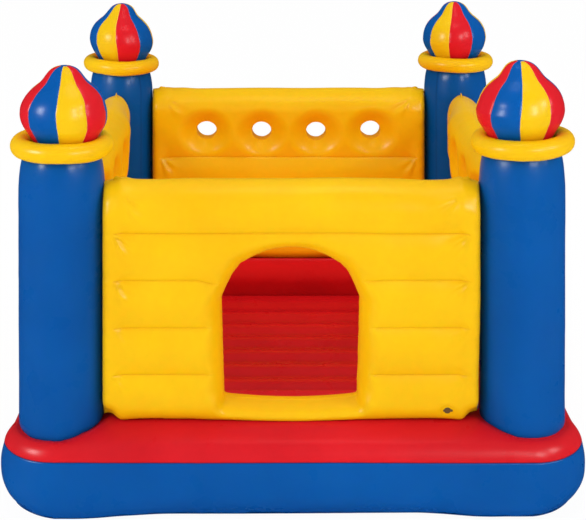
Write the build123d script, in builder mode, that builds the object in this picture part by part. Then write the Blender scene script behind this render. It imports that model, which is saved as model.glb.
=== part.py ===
"""Inflatable bounce house: four round corner towers with onion domes, four
air-tube walls, a square base ring and a ribbed bounce floor.

Frame: origin on the ground at the centre of the footprint, +Z up, the door
faces -Y, millimetres.
"""

import math
import os

from build123d import *

# ---------------------------------------------------------------- dimensions
SKIN = 1.5                 # modelled sheet thickness
GAP = 0.05                 # clearance between welded sheets

TOWER_PITCH = 692.5        # tower axes at (+-TOWER_PITCH, +-TOWER_PITCH)
TOWER_R = 128.0
TOWER_STRAIGHT_TOP = 945.0
TOWER_SHOULDER = (123.4, 985.0)
TOWER_TOP_R = 110.0
TOWER_TOP_Z = 1023.0

BASE_H = 240.0             # top of the base ring
BASE_CORNER_R = 182.5      # corner radius at the widest level, round the tower axis
BASE_INNER = 580.0         # half the opening that holds the bounce floor
BASE_INNER_R = 4.0
FLAT_EDGE = 134.0          # where the flat top starts to roll over, from the tower axis
SEAM_R, SEAM_Z = 174.8, 176.0    # top sheet to side band weld
FOOT_R = 152.0             # side band to bottom sheet weld

FLOOR_HALF = 577.0
FLOOR_CREASES = [58.5, 175.5, 292.5, 409.5]
FLOOR_CREST, FLOOR_CREASE, FLOOR_EDGE = 134.0, 117.0, 66.0

WALL_END = 554.0           # half length of a wall panel
WALL_TOP = 945.0
WALL_CREASE = 62.0         # half thickness at a crease
WALL_LOBE = 90.0           # half thickness at a tube's middle
CREASES_FRONT = [389.0, 528.0, 667.0, 806.0]
CREASES_WINDOW = [389.0, 528.0, 667.0]

DOOR_HALF = 204.0
DOOR_SILL, DOOR_SPRING, DOOR_TOP = 292.0, 596.0, 748.0

WINDOW_R = 39.0
WINDOW_Z = 771.0
WINDOW_X = [-340.5, -113.5, 113.5, 340.5]

COLLAR_R, COLLAR_TUBE, COLLAR_Z = 124.0, 29.5, 1051.0

GORES = 9
DOME_PROFILE = [           # radius, height
    (83.5, 1023.4), (82.5, 1036.0), (85.5, 1048.0), (92.0, 1062.0), (102.5, 1079.0),
    (112.0, 1094.0), (120.3, 1109.0), (126.0, 1124.0), (129.0, 1139.0), (129.2, 1152.0),
    (126.6, 1168.0), (121.3, 1184.0), (113.0, 1199.5), (100.8, 1214.6), (87.0, 1228.0),
    (73.0, 1241.0), (61.5, 1253.5), (51.5, 1265.5), (42.0, 1276.0), (28.5, 1286.5), (12.0, 1291.5),
]
TIP_R = 14.0

VALVE_FLANGE_R = 18.0
STEM_R = 10.0              # outside radius of a valve stem
STEM_LEN = 22.0
STEM_MOUTH_R, STEM_MOUTH_DEPTH = 8.0, 4.5
STEM_BORE_R = 7.0          # seat of a pump nozzle
STEM_HOLE_R = 10.6         # hole in the sheet that the stem slides through
CAP_R = 9.8

os.makedirs("parts", exist_ok=True)


def finish(builder, name):
    """Labels a finished part and writes its STEP file."""
    builder.part.label = name
    export_step(builder.part, f"parts/{name}.step")


def side_plane(azimuth, origin=(0, 0, 0)):
    """Vertical plane whose local x points outward at azimuth degrees from -Y
    towards +X, and whose local y is up."""
    a = math.radians(azimuth)
    return Plane(origin=origin, x_dir=(math.sin(a), -math.cos(a), 0),
                 z_dir=(-math.cos(a), -math.sin(a), 0))


def face_plane(azimuth, out=0.0, z=0.0):
    """Vertical plane facing outward at azimuth, out from the centre: local x
    runs along the wall, local y is up."""
    a = math.radians(azimuth)
    n = (math.sin(a), -math.cos(a), 0)
    return Plane(origin=(n[0] * out, n[1] * out, z),
                 x_dir=(math.cos(a), math.sin(a), 0), z_dir=n)


def circle_through(p, q, r):
    """Centre and radius of the circle through three points."""
    ax, ay, bx, by, cx, cy = *p, *q, *r
    d = 2 * (ax * (by - cy) + bx * (cy - ay) + cx * (ay - by))
    ux = ((ax * ax + ay * ay) * (by - cy) + (bx * bx + by * by) * (cy - ay)
          + (cx * cx + cy * cy) * (ay - by)) / d
    uy = ((ax * ax + ay * ay) * (cx - bx) + (bx * bx + by * by) * (ax - cx)
          + (cx * cx + cy * cy) * (bx - ax)) / d
    return (ux, uy), math.hypot(ax - ux, ay - uy)


def toward(centre, point, radius):
    d = math.hypot(point[0] - centre[0], point[1] - centre[1])
    return (centre[0] + (point[0] - centre[0]) * radius / d,
            centre[1] + (point[1] - centre[1]) * radius / d)


def arc_strip(p, q, r, thick):
    """Closed outline of a sheet whose outer face is the arc p-q-r."""
    centre, radius = circle_through(p, q, r)
    pi, qi, ri = (toward(centre, s, radius - thick) for s in (p, q, r))
    ThreePointArc(p, q, r)
    Line(r, ri)
    ThreePointArc(ri, qi, pi)
    Line(pi, p)


def offset_points(points, distance):
    """Moves each point of an open curve to its left-hand side."""
    out = []
    for i, (x, y) in enumerate(points):
        x0, y0 = points[max(i - 1, 0)]
        x1, y1 = points[min(i + 1, len(points) - 1)]
        d = math.hypot(x1 - x0, y1 - y0)
        out.append((x - (y1 - y0) / d * distance, y + (x1 - x0) / d * distance))
    return out


# ---------------------------------------------------------------- base ring
c, p = TOWER_PITCH, 150.0
with BuildLine(Plane.XY) as base_path:
    Line((0, -c - p), (c, -c - p))
    TangentArc((c, -c - p), (c + p, -c), tangent=(1, 0))
    Line((c + p, -c), (c + p, c))
    TangentArc((c + p, c), (c, c + p), tangent=(0, 1))
    Line((c, c + p), (-c, c + p))
    TangentArc((-c, c + p), (-c - p, c), tangent=(-1, 0))
    Line((-c - p, c), (-c - p, -c))
    TangentArc((-c - p, -c), (-c, -c - p), tangent=(0, -1))
    Line((-c, -c - p), (0, -c - p))

top_in = FLAT_EDGE
with BuildPart() as base_top_sheet:
    with BuildSketch(side_plane(0)):
        with BuildLine():
            arc_strip((c + top_in, BASE_H), (c + 159.5, 212.0), (c + SEAM_R, SEAM_Z + GAP), SKIN)
        make_face()
    sweep(path=base_path.wire())
    with BuildSketch(Plane.XY.offset(BASE_H - SKIN)):
        RectangleRounded(2 * (c + top_in), 2 * (c + top_in), top_in)
        RectangleRounded(2 * BASE_INNER, 2 * BASE_INNER, BASE_INNER_R, mode=Mode.SUBTRACT)
    extrude(amount=SKIN)
finish(base_top_sheet, "base_top_sheet")

BAND_MID = (c + BASE_CORNER_R, 108.0)
# The base valve is on the rear face, below the band's widest level, so it
# tips down and stays inside the base's outline.
BASE_VALVE_X, BASE_VALVE_TIP = 300.0, math.radians(-14.0)
band_centre, band_radius = circle_through((c + SEAM_R, SEAM_Z), BAND_MID, (c + FOOT_R, SKIN))
base_valve_plane = Plane(
    origin=(BASE_VALVE_X, band_centre[0] + band_radius * math.cos(BASE_VALVE_TIP),
            band_centre[1] + band_radius * math.sin(BASE_VALVE_TIP)),
    x_dir=(-1, 0, 0), z_dir=(0, math.cos(BASE_VALVE_TIP), math.sin(BASE_VALVE_TIP)))
with BuildPart() as base_side_band:
    with BuildSketch(side_plane(0)):
        with BuildLine():
            arc_strip((c + SEAM_R, SEAM_Z), BAND_MID, (c + FOOT_R, SKIN + GAP), SKIN)
        make_face()
    sweep(path=base_path.wire())
    with BuildSketch(base_valve_plane.offset(10)):
        Circle(STEM_HOLE_R)
    extrude(amount=-40, mode=Mode.SUBTRACT)
finish(base_side_band, "base_side_band")

with BuildPart() as base_bottom_sheet:
    with BuildSketch(Plane.XY):
        RectangleRounded(2 * (c + FOOT_R), 2 * (c + FOOT_R), FOOT_R)
        RectangleRounded(2 * BASE_INNER, 2 * BASE_INNER, BASE_INNER_R, mode=Mode.SUBTRACT)
    extrude(amount=SKIN)
finish(base_bottom_sheet, "base_bottom_sheet")

with BuildPart() as base_inner_band:
    with BuildSketch(Plane.XY.offset(SKIN)):
        RectangleRounded(2 * (BASE_INNER + SKIN), 2 * (BASE_INNER + SKIN), BASE_INNER_R + SKIN)
        RectangleRounded(2 * BASE_INNER, 2 * BASE_INNER, BASE_INNER_R, mode=Mode.SUBTRACT)
    extrude(amount=BASE_H - 2 * SKIN)
finish(base_inner_band, "base_inner_band")

# One tension web along each side keeps the top of the ring flat.
with BuildPart() as base_tension_webs:
    for azimuth in (0, 90, 180, 270):
        with BuildSketch(face_plane(azimuth, 727.5, BASE_H / 2)):
            Rectangle(1080, BASE_H - 2 * SKIN)
            with GridLocations(180, 1, 6, 1):
                Circle(35, mode=Mode.SUBTRACT)
        extrude(amount=1.2)
finish(base_tension_webs, "base_tension_webs")

# ---------------------------------------------------------------- bounce floor
FLOOR_VALVE_X, FLOOR_VALVE_Y = 480.0, -351.0
crease_y = sorted([-y for y in FLOOR_CREASES] + FLOOR_CREASES)
floor_ends = ([(-FLOOR_HALF, FLOOR_EDGE)] + [(y, FLOOR_CREASE) for y in crease_y]
              + [(FLOOR_HALF, FLOOR_EDGE)])


def floor_outline(drop=0.0):
    """Draws the ribbed top of the floor, closed at its edge level: local x
    across the ribs, local y up."""
    side = max(drop, 0.0)
    first = (-FLOOR_HALF + side, FLOOR_EDGE)
    last = (FLOOR_HALF - side, FLOOR_EDGE)
    for (y0, z0), (y1, z1) in zip(floor_ends, floor_ends[1:]):
        a, b = (y0, z0 - drop * 1.05), (y1, z1 - drop * 1.05)
        mid = ((y0 + y1) / 2, FLOOR_CREST - drop)
        if y0 == -FLOOR_HALF:
            a, mid = first, (-FLOOR_HALF + 55.0 + side * 0.4, FLOOR_CREST - 6.0 - drop)
        if y1 == FLOOR_HALF:
            b, mid = last, (FLOOR_HALF - 55.0 - side * 0.4, FLOOR_CREST - 6.0 - drop)
        ThreePointArc(a, mid, b)
    Line(last, first)


rib_plane = Plane(origin=(-FLOOR_HALF, 0, 0), x_dir=(0, 1, 0), z_dir=(1, 0, 0))
with BuildPart() as floor_top_sheet:
    with BuildSketch(rib_plane):
        with BuildLine():
            floor_outline()
        make_face()
        with BuildLine():
            floor_outline(SKIN)
        make_face(mode=Mode.SUBTRACT)
    extrude(amount=2 * FLOOR_HALF)
    with BuildSketch(Plane.XY.offset(FLOOR_CREST + 5)):
        with Locations((FLOOR_VALVE_X, FLOOR_VALVE_Y)):
            Circle(STEM_HOLE_R)
    extrude(amount=-40, mode=Mode.SUBTRACT)
finish(floor_top_sheet, "floor_top_sheet")

with BuildPart() as floor_bottom_sheet:
    with BuildSketch(Plane.XY):
        RectangleRounded(2 * (FLOOR_HALF + 2), 2 * (FLOOR_HALF + 2), BASE_INNER_R)
    extrude(amount=SKIN)
finish(floor_bottom_sheet, "floor_bottom_sheet")

# Upright band that joins the floor's top and bottom sheets round the edge; it
# follows the ribs' rounded ends.
with BuildPart() as floor_side_gusset:
    with BuildSketch(rib_plane):
        with BuildLine():
            floor_outline(SKIN + 0.1)
        make_face()
        with Locations((0, (FLOOR_EDGE + SKIN) / 2)):
            Rectangle(2 * (FLOOR_HALF - SKIN - 0.1), FLOOR_EDGE - SKIN + 0.001)
    extrude(amount=2 * FLOOR_HALF)
    with BuildSketch(Plane.XY.offset(SKIN)):
        RectangleRounded(2 * (FLOOR_HALF - 4), 2 * (FLOOR_HALF - 4), 24.0)
        RectangleRounded(2 * (FLOOR_HALF - 4 - SKIN), 2 * (FLOOR_HALF - 4 - SKIN), 22.5, mode=Mode.SUBTRACT)
    extrude(amount=FLOOR_CREST + 5, mode=Mode.INTERSECT)
finish(floor_side_gusset, "floor_side_gusset")

with BuildPart() as floor_tension_webs:
    for y in crease_y:
        with BuildSketch(Plane(origin=(0, y - 0.6, 0), x_dir=(1, 0, 0), z_dir=(0, -1, 0)).offset(-1.2)):
            with Locations((0, (FLOOR_CREASE - 3.0 + SKIN) / 2)):
                Rectangle(1080, FLOOR_CREASE - 3.0 - SKIN)
                with GridLocations(154, 1, 7, 1):
                    Circle(25, mode=Mode.SUBTRACT)
        extrude(amount=1.2)
finish(floor_tension_webs, "floor_tension_webs")


# ---------------------------------------------------------------- walls
def wall_outline(creases, shrink=0.0):
    """Draws the lobed cross-section: local x across the wall, local y up."""
    bottom, low_half = BASE_H + GAP + shrink, 50.0 - shrink
    lobes = []
    levels = list(creases)
    lobes.append(((low_half, bottom), (WALL_LOBE - 1.0 - shrink, 305.0), (WALL_CREASE - shrink * 1.4, levels[0])))
    for z0, z1 in zip(levels, levels[1:]):
        lobes.append(((WALL_CREASE - shrink * 1.4, z0), (WALL_LOBE - shrink, (z0 + z1) / 2),
                      (WALL_CREASE - shrink * 1.4, z1)))
    last = levels[-1]
    shoulder = WALL_TOP - 33.0
    lobes.append(((WALL_CREASE - shrink * 1.4, last), (WALL_LOBE - shrink, last + (shoulder - last) * 0.5),
                  (60.0 - shrink, shoulder - shrink * 0.6)))
    Line((-low_half, bottom), (low_half, bottom))
    for a, b, d in lobes:
        ThreePointArc(a, b, d)
    ThreePointArc((60.0 - shrink, shoulder - shrink * 0.6), (0, WALL_TOP - shrink), (-60.0 + shrink, shoulder - shrink * 0.6))
    for a, b, d in reversed(lobes):
        ThreePointArc((-d[0], d[1]), (-b[0], b[1]), (-a[0], a[1]))


def across_plane(azimuth, start):
    """Cross-section plane of the wall at azimuth, at start along its length."""
    a = math.radians(azimuth)
    out = (math.sin(a), -math.cos(a), 0)
    along = (math.cos(a), math.sin(a), 0)
    return Plane(origin=(out[0] * c + along[0] * start, out[1] * c + along[1] * start, 0),
                 x_dir=out, z_dir=(-along[0], -along[1], 0))


def door_outline(grow=0.0):
    h, s = DOOR_HALF + grow, DOOR_SILL - grow
    Line((-h, s), (h, s))
    Line((h, s), (h, DOOR_SPRING))
    EllipticalCenterArc((0, DOOR_SPRING), h, DOOR_TOP + grow - DOOR_SPRING, start_angle=0, arc_size=180)
    Line((-h, DOOR_SPRING), (-h, s))


# The wall valve sits below the middle of the lowest tube, so it tips down.
WALL_VALVE_X, WALL_VALVE_Z = 457.0, 290.0
valve_centre, valve_radius = circle_through((50.0, BASE_H + GAP), (WALL_LOBE - 1.0, 305.0), (WALL_CREASE, 389.0))
valve_tip = math.asin((WALL_VALVE_Z - valve_centre[1]) / valve_radius)
wall_valve_plane = Plane(
    origin=(WALL_VALVE_X, -c - valve_centre[0] - valve_radius * math.cos(valve_tip), WALL_VALVE_Z),
    x_dir=(1, 0, 0), z_dir=(0, -math.cos(valve_tip), math.sin(valve_tip)))

with BuildPart() as front_wall_skin:
    with BuildSketch(across_plane(0, WALL_END - SKIN)):
        with BuildLine():
            wall_outline(CREASES_FRONT)
        make_face()
        with BuildLine():
            wall_outline(CREASES_FRONT, SKIN)
        make_face(mode=Mode.SUBTRACT)
    extrude(amount=2 * (WALL_END - SKIN))
    with BuildSketch(face_plane(0, c + 120)):
        with BuildLine():
            door_outline(SKIN + GAP)
        make_face()
    extrude(amount=-240, mode=Mode.SUBTRACT)
    with BuildSketch(wall_valve_plane.offset(10)):
        Circle(STEM_HOLE_R)
    extrude(amount=-40, mode=Mode.SUBTRACT)
finish(front_wall_skin, "front_wall_skin")

# Sleeve that joins the outer and inner sheets round the door.
with BuildPart() as door_sleeve:
    with BuildSketch(across_plane(0, WALL_END)):
        with BuildLine():
            wall_outline(CREASES_FRONT)
        make_face()
    extrude(amount=2 * WALL_END)
    with BuildSketch(face_plane(0, c + 120)):
        with BuildLine():
            door_outline(SKIN)
        make_face()
        with BuildLine():
            door_outline()
        make_face(mode=Mode.SUBTRACT)
    extrude(amount=-240, mode=Mode.INTERSECT)
finish(door_sleeve, "door_sleeve")


def window_wall(azimuth, name):
    with BuildPart() as skin:
        with BuildSketch(across_plane(azimuth, WALL_END - SKIN)):
            with BuildLine():
                wall_outline(CREASES_WINDOW)
            make_face()
            with BuildLine():
                wall_outline(CREASES_WINDOW, SKIN)
            make_face(mode=Mode.SUBTRACT)
        extrude(amount=2 * (WALL_END - SKIN))
        with BuildSketch(face_plane(azimuth, c + 120)):
            with Locations(*[(x, WINDOW_Z) for x in WINDOW_X]):
                Circle(WINDOW_R + SKIN + GAP)
        extrude(amount=-240, mode=Mode.SUBTRACT)
    finish(skin, name)


window_wall(180, "rear_wall_skin")
window_wall(270, "left_wall_skin")
window_wall(90, "right_wall_skin")

# Short sleeves that join the two sheets round each peep window.
with BuildPart() as window_sleeves:
    for azimuth in (90, 180, 270):
        with BuildSketch(face_plane(azimuth, c - WALL_LOBE + 6)):
            with Locations(*[(x, WINDOW_Z) for x in WINDOW_X]):
                Circle(WINDOW_R + SKIN)
                Circle(WINDOW_R, mode=Mode.SUBTRACT)
        extrude(amount=2 * WALL_LOBE - 12)
finish(window_sleeves, "window_sleeves")


def wall_webs(azimuth, spans_by_level, name):
    """Horizontal tension webs that pull the creases in."""
    half = WALL_CREASE - SKIN * 1.4 - 0.6
    with BuildPart() as webs:
        for level, spans in spans_by_level:
            a = math.radians(azimuth)
            with BuildSketch(Plane(origin=(0, 0, level - 0.6), x_dir=(math.cos(a), math.sin(a), 0), z_dir=(0, 0, 1))):
                for x0, x1 in spans:
                    with Locations(((x0 + x1) / 2, -c)):
                        Rectangle(x1 - x0, 2 * half)
                        with GridLocations((x1 - x0) / 3, 1, 3, 1):
                            Circle(28, mode=Mode.SUBTRACT)
            extrude(amount=1.2)
    finish(webs, name)


left_right = [(-522.0, -232.0), (232.0, 522.0)]
wall_webs(0, [(389.0, left_right), (528.0, left_right), (667.0, left_right), (806.0, [(-522.0, 522.0)])],
          "front_wall_webs")
full = [(-522.0, 522.0)]
for azimuth, side in ((180, "rear"), (270, "left"), (90, "right")):
    wall_webs(azimuth, [(z, full) for z in CREASES_WINDOW], f"{side}_wall_webs")

# End panels close each wall's two ends.
with BuildPart() as wall_end_panels:
    for azimuth in (0, 90, 180, 270):
        for end in (-1, 1):
            start = WALL_END if end > 0 else -WALL_END + SKIN
            with BuildSketch(across_plane(azimuth, start)):
                with BuildLine():
                    wall_outline(CREASES_FRONT if azimuth == 0 else CREASES_WINDOW)
                make_face()
            extrude(amount=SKIN)
finish(wall_end_panels, "wall_end_panels")

# Weld strips that tie each wall's ends to the towers.
with BuildPart() as wall_tie_strips:
    for azimuth in (0, 90, 180, 270):
        for end in (-1, 1):
            x0, x1 = sorted((end * (WALL_END + GAP), end * (c - TOWER_R - 0.1)))
            with BuildSketch(face_plane(azimuth, c + 1.5)):
                with Locations(((x0 + x1) / 2, 590.0)):
                    Rectangle(x1 - x0, 680.0)
            extrude(amount=-3.0)
finish(wall_tie_strips, "wall_tie_strips")

# ---------------------------------------------------------------- towers
corners = {"front_left": (-c, -c), "front_right": (c, -c), "rear_left": (-c, c), "rear_right": (c, c)}
GORE_START = {"front_left": 1.7, "front_right": -9.2, "rear_left": -41.8, "rear_right": -54.5}

shoulder_centre, shoulder_radius = circle_through((TOWER_R, TOWER_STRAIGHT_TOP), TOWER_SHOULDER, (TOWER_TOP_R, TOWER_TOP_Z))
for where, (x, y) in corners.items():
    axis = Axis((x, y, 0), (0, 0, 1))
    with BuildPart() as tower:
        with BuildSketch(side_plane(0, (x, y, 0))):
            with BuildLine():
                a, b, d = (TOWER_R, TOWER_STRAIGHT_TOP), TOWER_SHOULDER, (TOWER_TOP_R, TOWER_TOP_Z)
                ai, bi, di = (toward(shoulder_centre, s, shoulder_radius - SKIN) for s in (a, b, d))
                ai = (TOWER_R - SKIN, ai[1])
                Line((TOWER_R, BASE_H + GAP), a)
                ThreePointArc(a, b, d)
                Line(d, di)
                ThreePointArc(di, bi, ai)
                Line(ai, (TOWER_R - SKIN, BASE_H + GAP))
                Line((TOWER_R - SKIN, BASE_H + GAP), (TOWER_R, BASE_H + GAP))
            make_face()
        revolve(axis=axis)
    finish(tower, f"{where}_tower_tube")

    with BuildPart() as collar:
        for sign in (1, -1):
            z = COLLAR_Z + sign * GAP / 2
            r, k = COLLAR_TUBE, COLLAR_TUBE - SKIN
            with BuildSketch(side_plane(0, (x, y, 0))):
                with BuildLine():
                    ThreePointArc((COLLAR_R - r, z), (COLLAR_R, z + sign * r), (COLLAR_R + r, z))
                    Line((COLLAR_R + r, z), (COLLAR_R + k, z))
                    ThreePointArc((COLLAR_R + k, z), (COLLAR_R, z + sign * k), (COLLAR_R - k, z))
                    Line((COLLAR_R - k, z), (COLLAR_R - r, z))
                make_face()
            revolve(axis=axis)
    finish(collar, f"{where}_collar")

    inner_profile = offset_points(DOME_PROFILE, SKIN)
    for colour, first in (("yellow", 0), ("red", 1), ("blue", 2)):
        with BuildPart() as gores:
            for k in range(first, GORES, 3):
                start = GORE_START[where] + k * 360 / GORES + 0.02
                with BuildSketch(side_plane(start, (x, y, 0))):
                    with BuildLine():
                        Spline(*DOME_PROFILE)
                        Line(DOME_PROFILE[-1], inner_profile[-1])
                        Spline(*reversed(inner_profile))
                        Line(inner_profile[0], DOME_PROFILE[0])
                    make_face()
                revolve(axis=axis, revolution_arc=360 / GORES - 0.04)
        finish(gores, f"{where}_dome_{colour}_gores")

# Discs that close the tower tops, with the port that passes air to the dome.
with BuildPart() as tower_top_discs:
    with BuildSketch(Plane.XY.offset(TOWER_TOP_Z - SKIN)):
        with Locations(*corners.values()):
            Circle(TOWER_TOP_R - 2.4)
            Circle(25.0, mode=Mode.SUBTRACT)
    extrude(amount=SKIN)
finish(tower_top_discs, "tower_top_discs")

# Discs that close the tower feet, lying on the base's top sheet.
with BuildPart() as tower_foot_discs:
    with BuildSketch(Plane.XY.offset(BASE_H + GAP)):
        with Locations(*corners.values()):
            Circle(TOWER_R - SKIN - 0.2)
    extrude(amount=SKIN)
finish(tower_foot_discs, "tower_foot_discs")

# Round patch over the point where the nine gores meet.
with BuildPart() as dome_tip_patches:
    for x, y in corners.values():
        with BuildSketch(side_plane(0, (x, y, 0))):
            with BuildLine():
                Polyline((0, 1291.75), (TIP_R, 1291.75), (TIP_R - 1.0, 1293.0), (0, 1294.0), (0, 1291.75))
            make_face()
        revolve(axis=Axis((x, y, 0), (0, 0, 1)))
finish(dome_tip_patches, "dome_tip_patches")

# ---------------------------------------------------------------- valves
# Each valve stands on its own plane: local z points out of the chamber and
# the plane touches the sheet's highest point.
valve_planes = {
    "wall_valve": wall_valve_plane,
    "base_valve": base_valve_plane,
    "floor_valve": Plane(origin=(FLOOR_VALVE_X, FLOOR_VALVE_Y, FLOOR_CREST), x_dir=(1, 0, 0), z_dir=(0, 0, 1)),
}


def local(plane, x, y, z):
    """World plane parallel to plane, with its origin at local x, y, z."""
    o = plane.origin + plane.x_dir * x + plane.y_dir * y + plane.z_dir * z
    return Plane(origin=o, x_dir=plane.x_dir, z_dir=plane.z_dir)


for name, plane in valve_planes.items():
    with BuildPart() as flange:
        with BuildSketch(local(plane, 0, 0, GAP)):
            Circle(VALVE_FLANGE_R)
            Circle(STEM_HOLE_R, mode=Mode.SUBTRACT)
        extrude(amount=1.2)
        fillet(flange.edges().group_by(Axis(plane.origin, plane.z_dir))[-1].sort_by(SortBy.LENGTH)[-1], 0.8)
    finish(flange, f"{name}_flange")

    with BuildPart() as stem:
        with BuildSketch(local(plane, 0, 0, 1.0 - STEM_LEN)):
            Circle(STEM_R)
        extrude(amount=STEM_LEN)
        with BuildSketch(local(plane, 0, 0, 1.0 - STEM_LEN)):
            Circle(STEM_BORE_R)
        extrude(amount=STEM_LEN, mode=Mode.SUBTRACT)
        with BuildSketch(local(plane, 0, 0, 1.0 - STEM_MOUTH_DEPTH)):
            Circle(STEM_MOUTH_R)
        extrude(amount=STEM_MOUTH_DEPTH, mode=Mode.SUBTRACT)
        # lip that stops the stem from pulling right out
        with BuildSketch(local(plane, 0, 0, 1.0 - STEM_LEN)):
            Circle(STEM_R + 3.0)
            Circle(STEM_BORE_R, mode=Mode.SUBTRACT)
        extrude(amount=1.2)
    finish(stem, f"{name}_stem")

    with BuildPart() as cap:
        with BuildSketch(local(plane, 0, 0, 1.1)):
            Circle(CAP_R)
        extrude(amount=1.6)
        # pull tab opposite the hinge
        with BuildSketch(local(plane, 0, 0, 1.4)):
            with Locations((CAP_R + 1.5, 0)):
                SlotOverall(9.0, 7.0)
        extrude(amount=1.2)
        # strap that bends as the hinge
        with BuildSketch(local(plane, 0, 0, 1.4)):
            with Locations((-CAP_R - 0.6, 0)):
                Rectangle(4.0, 6.0)
        extrude(amount=1.0)
        # tapered plug
        with BuildSketch(local(plane, 0, 0, 1.1)):
            Circle(7.5)
        with BuildSketch(local(plane, 0, 0, -2.4)):
            Circle(6.3)
        loft()
    finish(cap, f"{name}_cap")

    with BuildPart() as flap:
        with BuildSketch(local(plane, 0, 0, 1.0 - STEM_LEN - 0.9)):
            Circle(8.6)
            with Locations((-8.6, 0)):
                Rectangle(5.0, 7.0)
        extrude(amount=0.8)
    finish(flap, f"{name}_flap")

for name, plane in valve_planes.items():
    print(name, tuple(plane.origin), tuple(plane.z_dir), tuple(plane.y_dir))
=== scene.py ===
"""Inflatable bounce house: the looks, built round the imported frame. Metres."""

import math

import bpy
import numpy as np
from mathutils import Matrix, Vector, geometry


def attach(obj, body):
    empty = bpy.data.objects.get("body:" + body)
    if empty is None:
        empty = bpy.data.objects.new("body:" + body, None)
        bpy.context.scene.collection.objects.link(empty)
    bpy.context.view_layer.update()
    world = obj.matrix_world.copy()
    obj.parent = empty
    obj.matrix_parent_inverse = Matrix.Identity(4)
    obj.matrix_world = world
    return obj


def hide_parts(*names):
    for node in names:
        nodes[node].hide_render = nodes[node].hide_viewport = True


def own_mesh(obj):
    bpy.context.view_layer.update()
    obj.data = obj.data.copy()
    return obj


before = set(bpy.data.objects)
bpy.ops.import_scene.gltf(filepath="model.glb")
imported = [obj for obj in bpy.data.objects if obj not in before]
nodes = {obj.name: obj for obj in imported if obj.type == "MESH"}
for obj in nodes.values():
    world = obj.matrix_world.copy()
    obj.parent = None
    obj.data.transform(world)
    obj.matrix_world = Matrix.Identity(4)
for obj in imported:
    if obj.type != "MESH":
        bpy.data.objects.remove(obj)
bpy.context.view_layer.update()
ROOT = "castle"

# ------------------------------------------------------------------ helpers


def hash01(ix, iy, iz, seed):
    n = (ix * 73856093) ^ (iy * 19349663) ^ (iz * 83492791) ^ (seed * 2654435761)
    n &= 0xFFFFFFFF
    n = ((n ^ (n >> 15)) * 2246822519) & 0xFFFFFFFF
    n = ((n ^ (n >> 13)) * 3266489917) & 0xFFFFFFFF
    n ^= n >> 16
    return (n & 0xFFFFFF) / 16777215.0


def noise(p, size, seed=0):
    """Smooth value noise in -1..1 at points p (n, 3); size is the cell in metres,
    one number or three."""
    q = np.asarray(p, float) / np.asarray(size, float)
    f = np.floor(q)
    i = f.astype(np.int64)
    t = q - f
    t = t * t * t * (t * (t * 6 - 15) + 10)
    out = 0.0
    for dx in (0, 1):
        for dy in (0, 1):
            for dz in (0, 1):
                w = ((t[..., 0] if dx else 1 - t[..., 0]) * (t[..., 1] if dy else 1 - t[..., 1])
                     * (t[..., 2] if dz else 1 - t[..., 2]))
                out = out + w * hash01(i[..., 0] + dx, i[..., 1] + dy, i[..., 2] + dz, seed)
    return out * 2 - 1


def noise1(x, size, seed=0, period=None):
    """1-D smooth noise; period (in cells) makes it repeat."""
    q = np.asarray(x, float) / size
    f = np.floor(q)
    i = f.astype(np.int64)
    t = q - f
    t = t * t * (3 - 2 * t)
    a, b = i, i + 1
    if period:
        a, b = a % period, b % period
    z = np.zeros_like(a)
    return ((1 - t) * hash01(a, z, z, seed) + t * hash01(b, z, z, seed)) * 2 - 1


def smooth(a, b, x):
    t = np.clip((np.asarray(x, float) - a) / (b - a), 0, 1)
    return t * t * (3 - 2 * t)


def catmull(points, per=12):
    """Dense smooth curve through points (n, k)."""
    p = np.array(points, float)
    p = np.vstack([2 * p[0] - p[1], p, 2 * p[-1] - p[-2]])
    out = []
    for i in range(1, len(p) - 2):
        p0, p1, p2, p3 = p[i - 1:i + 3]
        d0, d1, d2 = (max(np.linalg.norm(b - a), 1e-9) ** 0.5 for a, b in ((p0, p1), (p1, p2), (p2, p3)))
        m1 = (p2 - p1) + d1 * ((p1 - p0) / d0 - (p2 - p0) / (d0 + d1))
        m2 = (p2 - p1) + d1 * ((p3 - p2) / d2 - (p3 - p1) / (d1 + d2))
        for t in np.linspace(0, 1, per, endpoint=False):
            out.append((2 * t**3 - 3 * t**2 + 1) * p1 + (t**3 - 2 * t**2 + t) * m1
                       + (-2 * t**3 + 3 * t**2) * p2 + (t**3 - t**2) * m2)
    out.append(p[-2])
    return np.array(out)


def resample(curve, n=None, step=None):
    d = np.r_[0, np.cumsum(np.linalg.norm(np.diff(curve, axis=0), axis=1))]
    if n is None:
        n = max(2, int(round(d[-1] / step)) + 1)
    s = np.linspace(0, d[-1], n)
    return np.stack([np.interp(s, d, curve[:, k]) for k in range(curve.shape[1])], axis=1)


def link(name, mesh):
    o = bpy.data.objects.new(name, mesh)
    bpy.context.scene.collection.objects.link(o)
    return o


def make_mesh(name, verts, faces, attrs=None):
    m = bpy.data.meshes.new(name)
    verts = np.asarray(verts, float)
    m.from_pydata(verts.tolist(), [], faces if isinstance(faces, list) else faces.tolist())
    m.polygons.foreach_set("use_smooth", np.ones(len(m.polygons), bool))
    for key, value in (attrs or {}).items():
        a = m.attributes.new(key, "FLOAT", "POINT")
        a.data.foreach_set("value", np.asarray(value, np.float32).ravel())
    m.update()
    return link(name, m)


def grid_faces(nu, nv, wrap_u=False, wrap_v=False, flip=False, base=0):
    iu = np.arange(nu if wrap_u else nu - 1)
    iv = np.arange(nv if wrap_v else nv - 1)
    a, b = np.meshgrid(iu, iv, indexing="ij")
    a2, b2 = (a + 1) % nu, (b + 1) % nv
    f = np.stack([a * nv + b, a2 * nv + b, a2 * nv + b2, a * nv + b2], axis=-1).reshape(-1, 4) + base
    return f[:, ::-1] if flip else f


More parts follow.
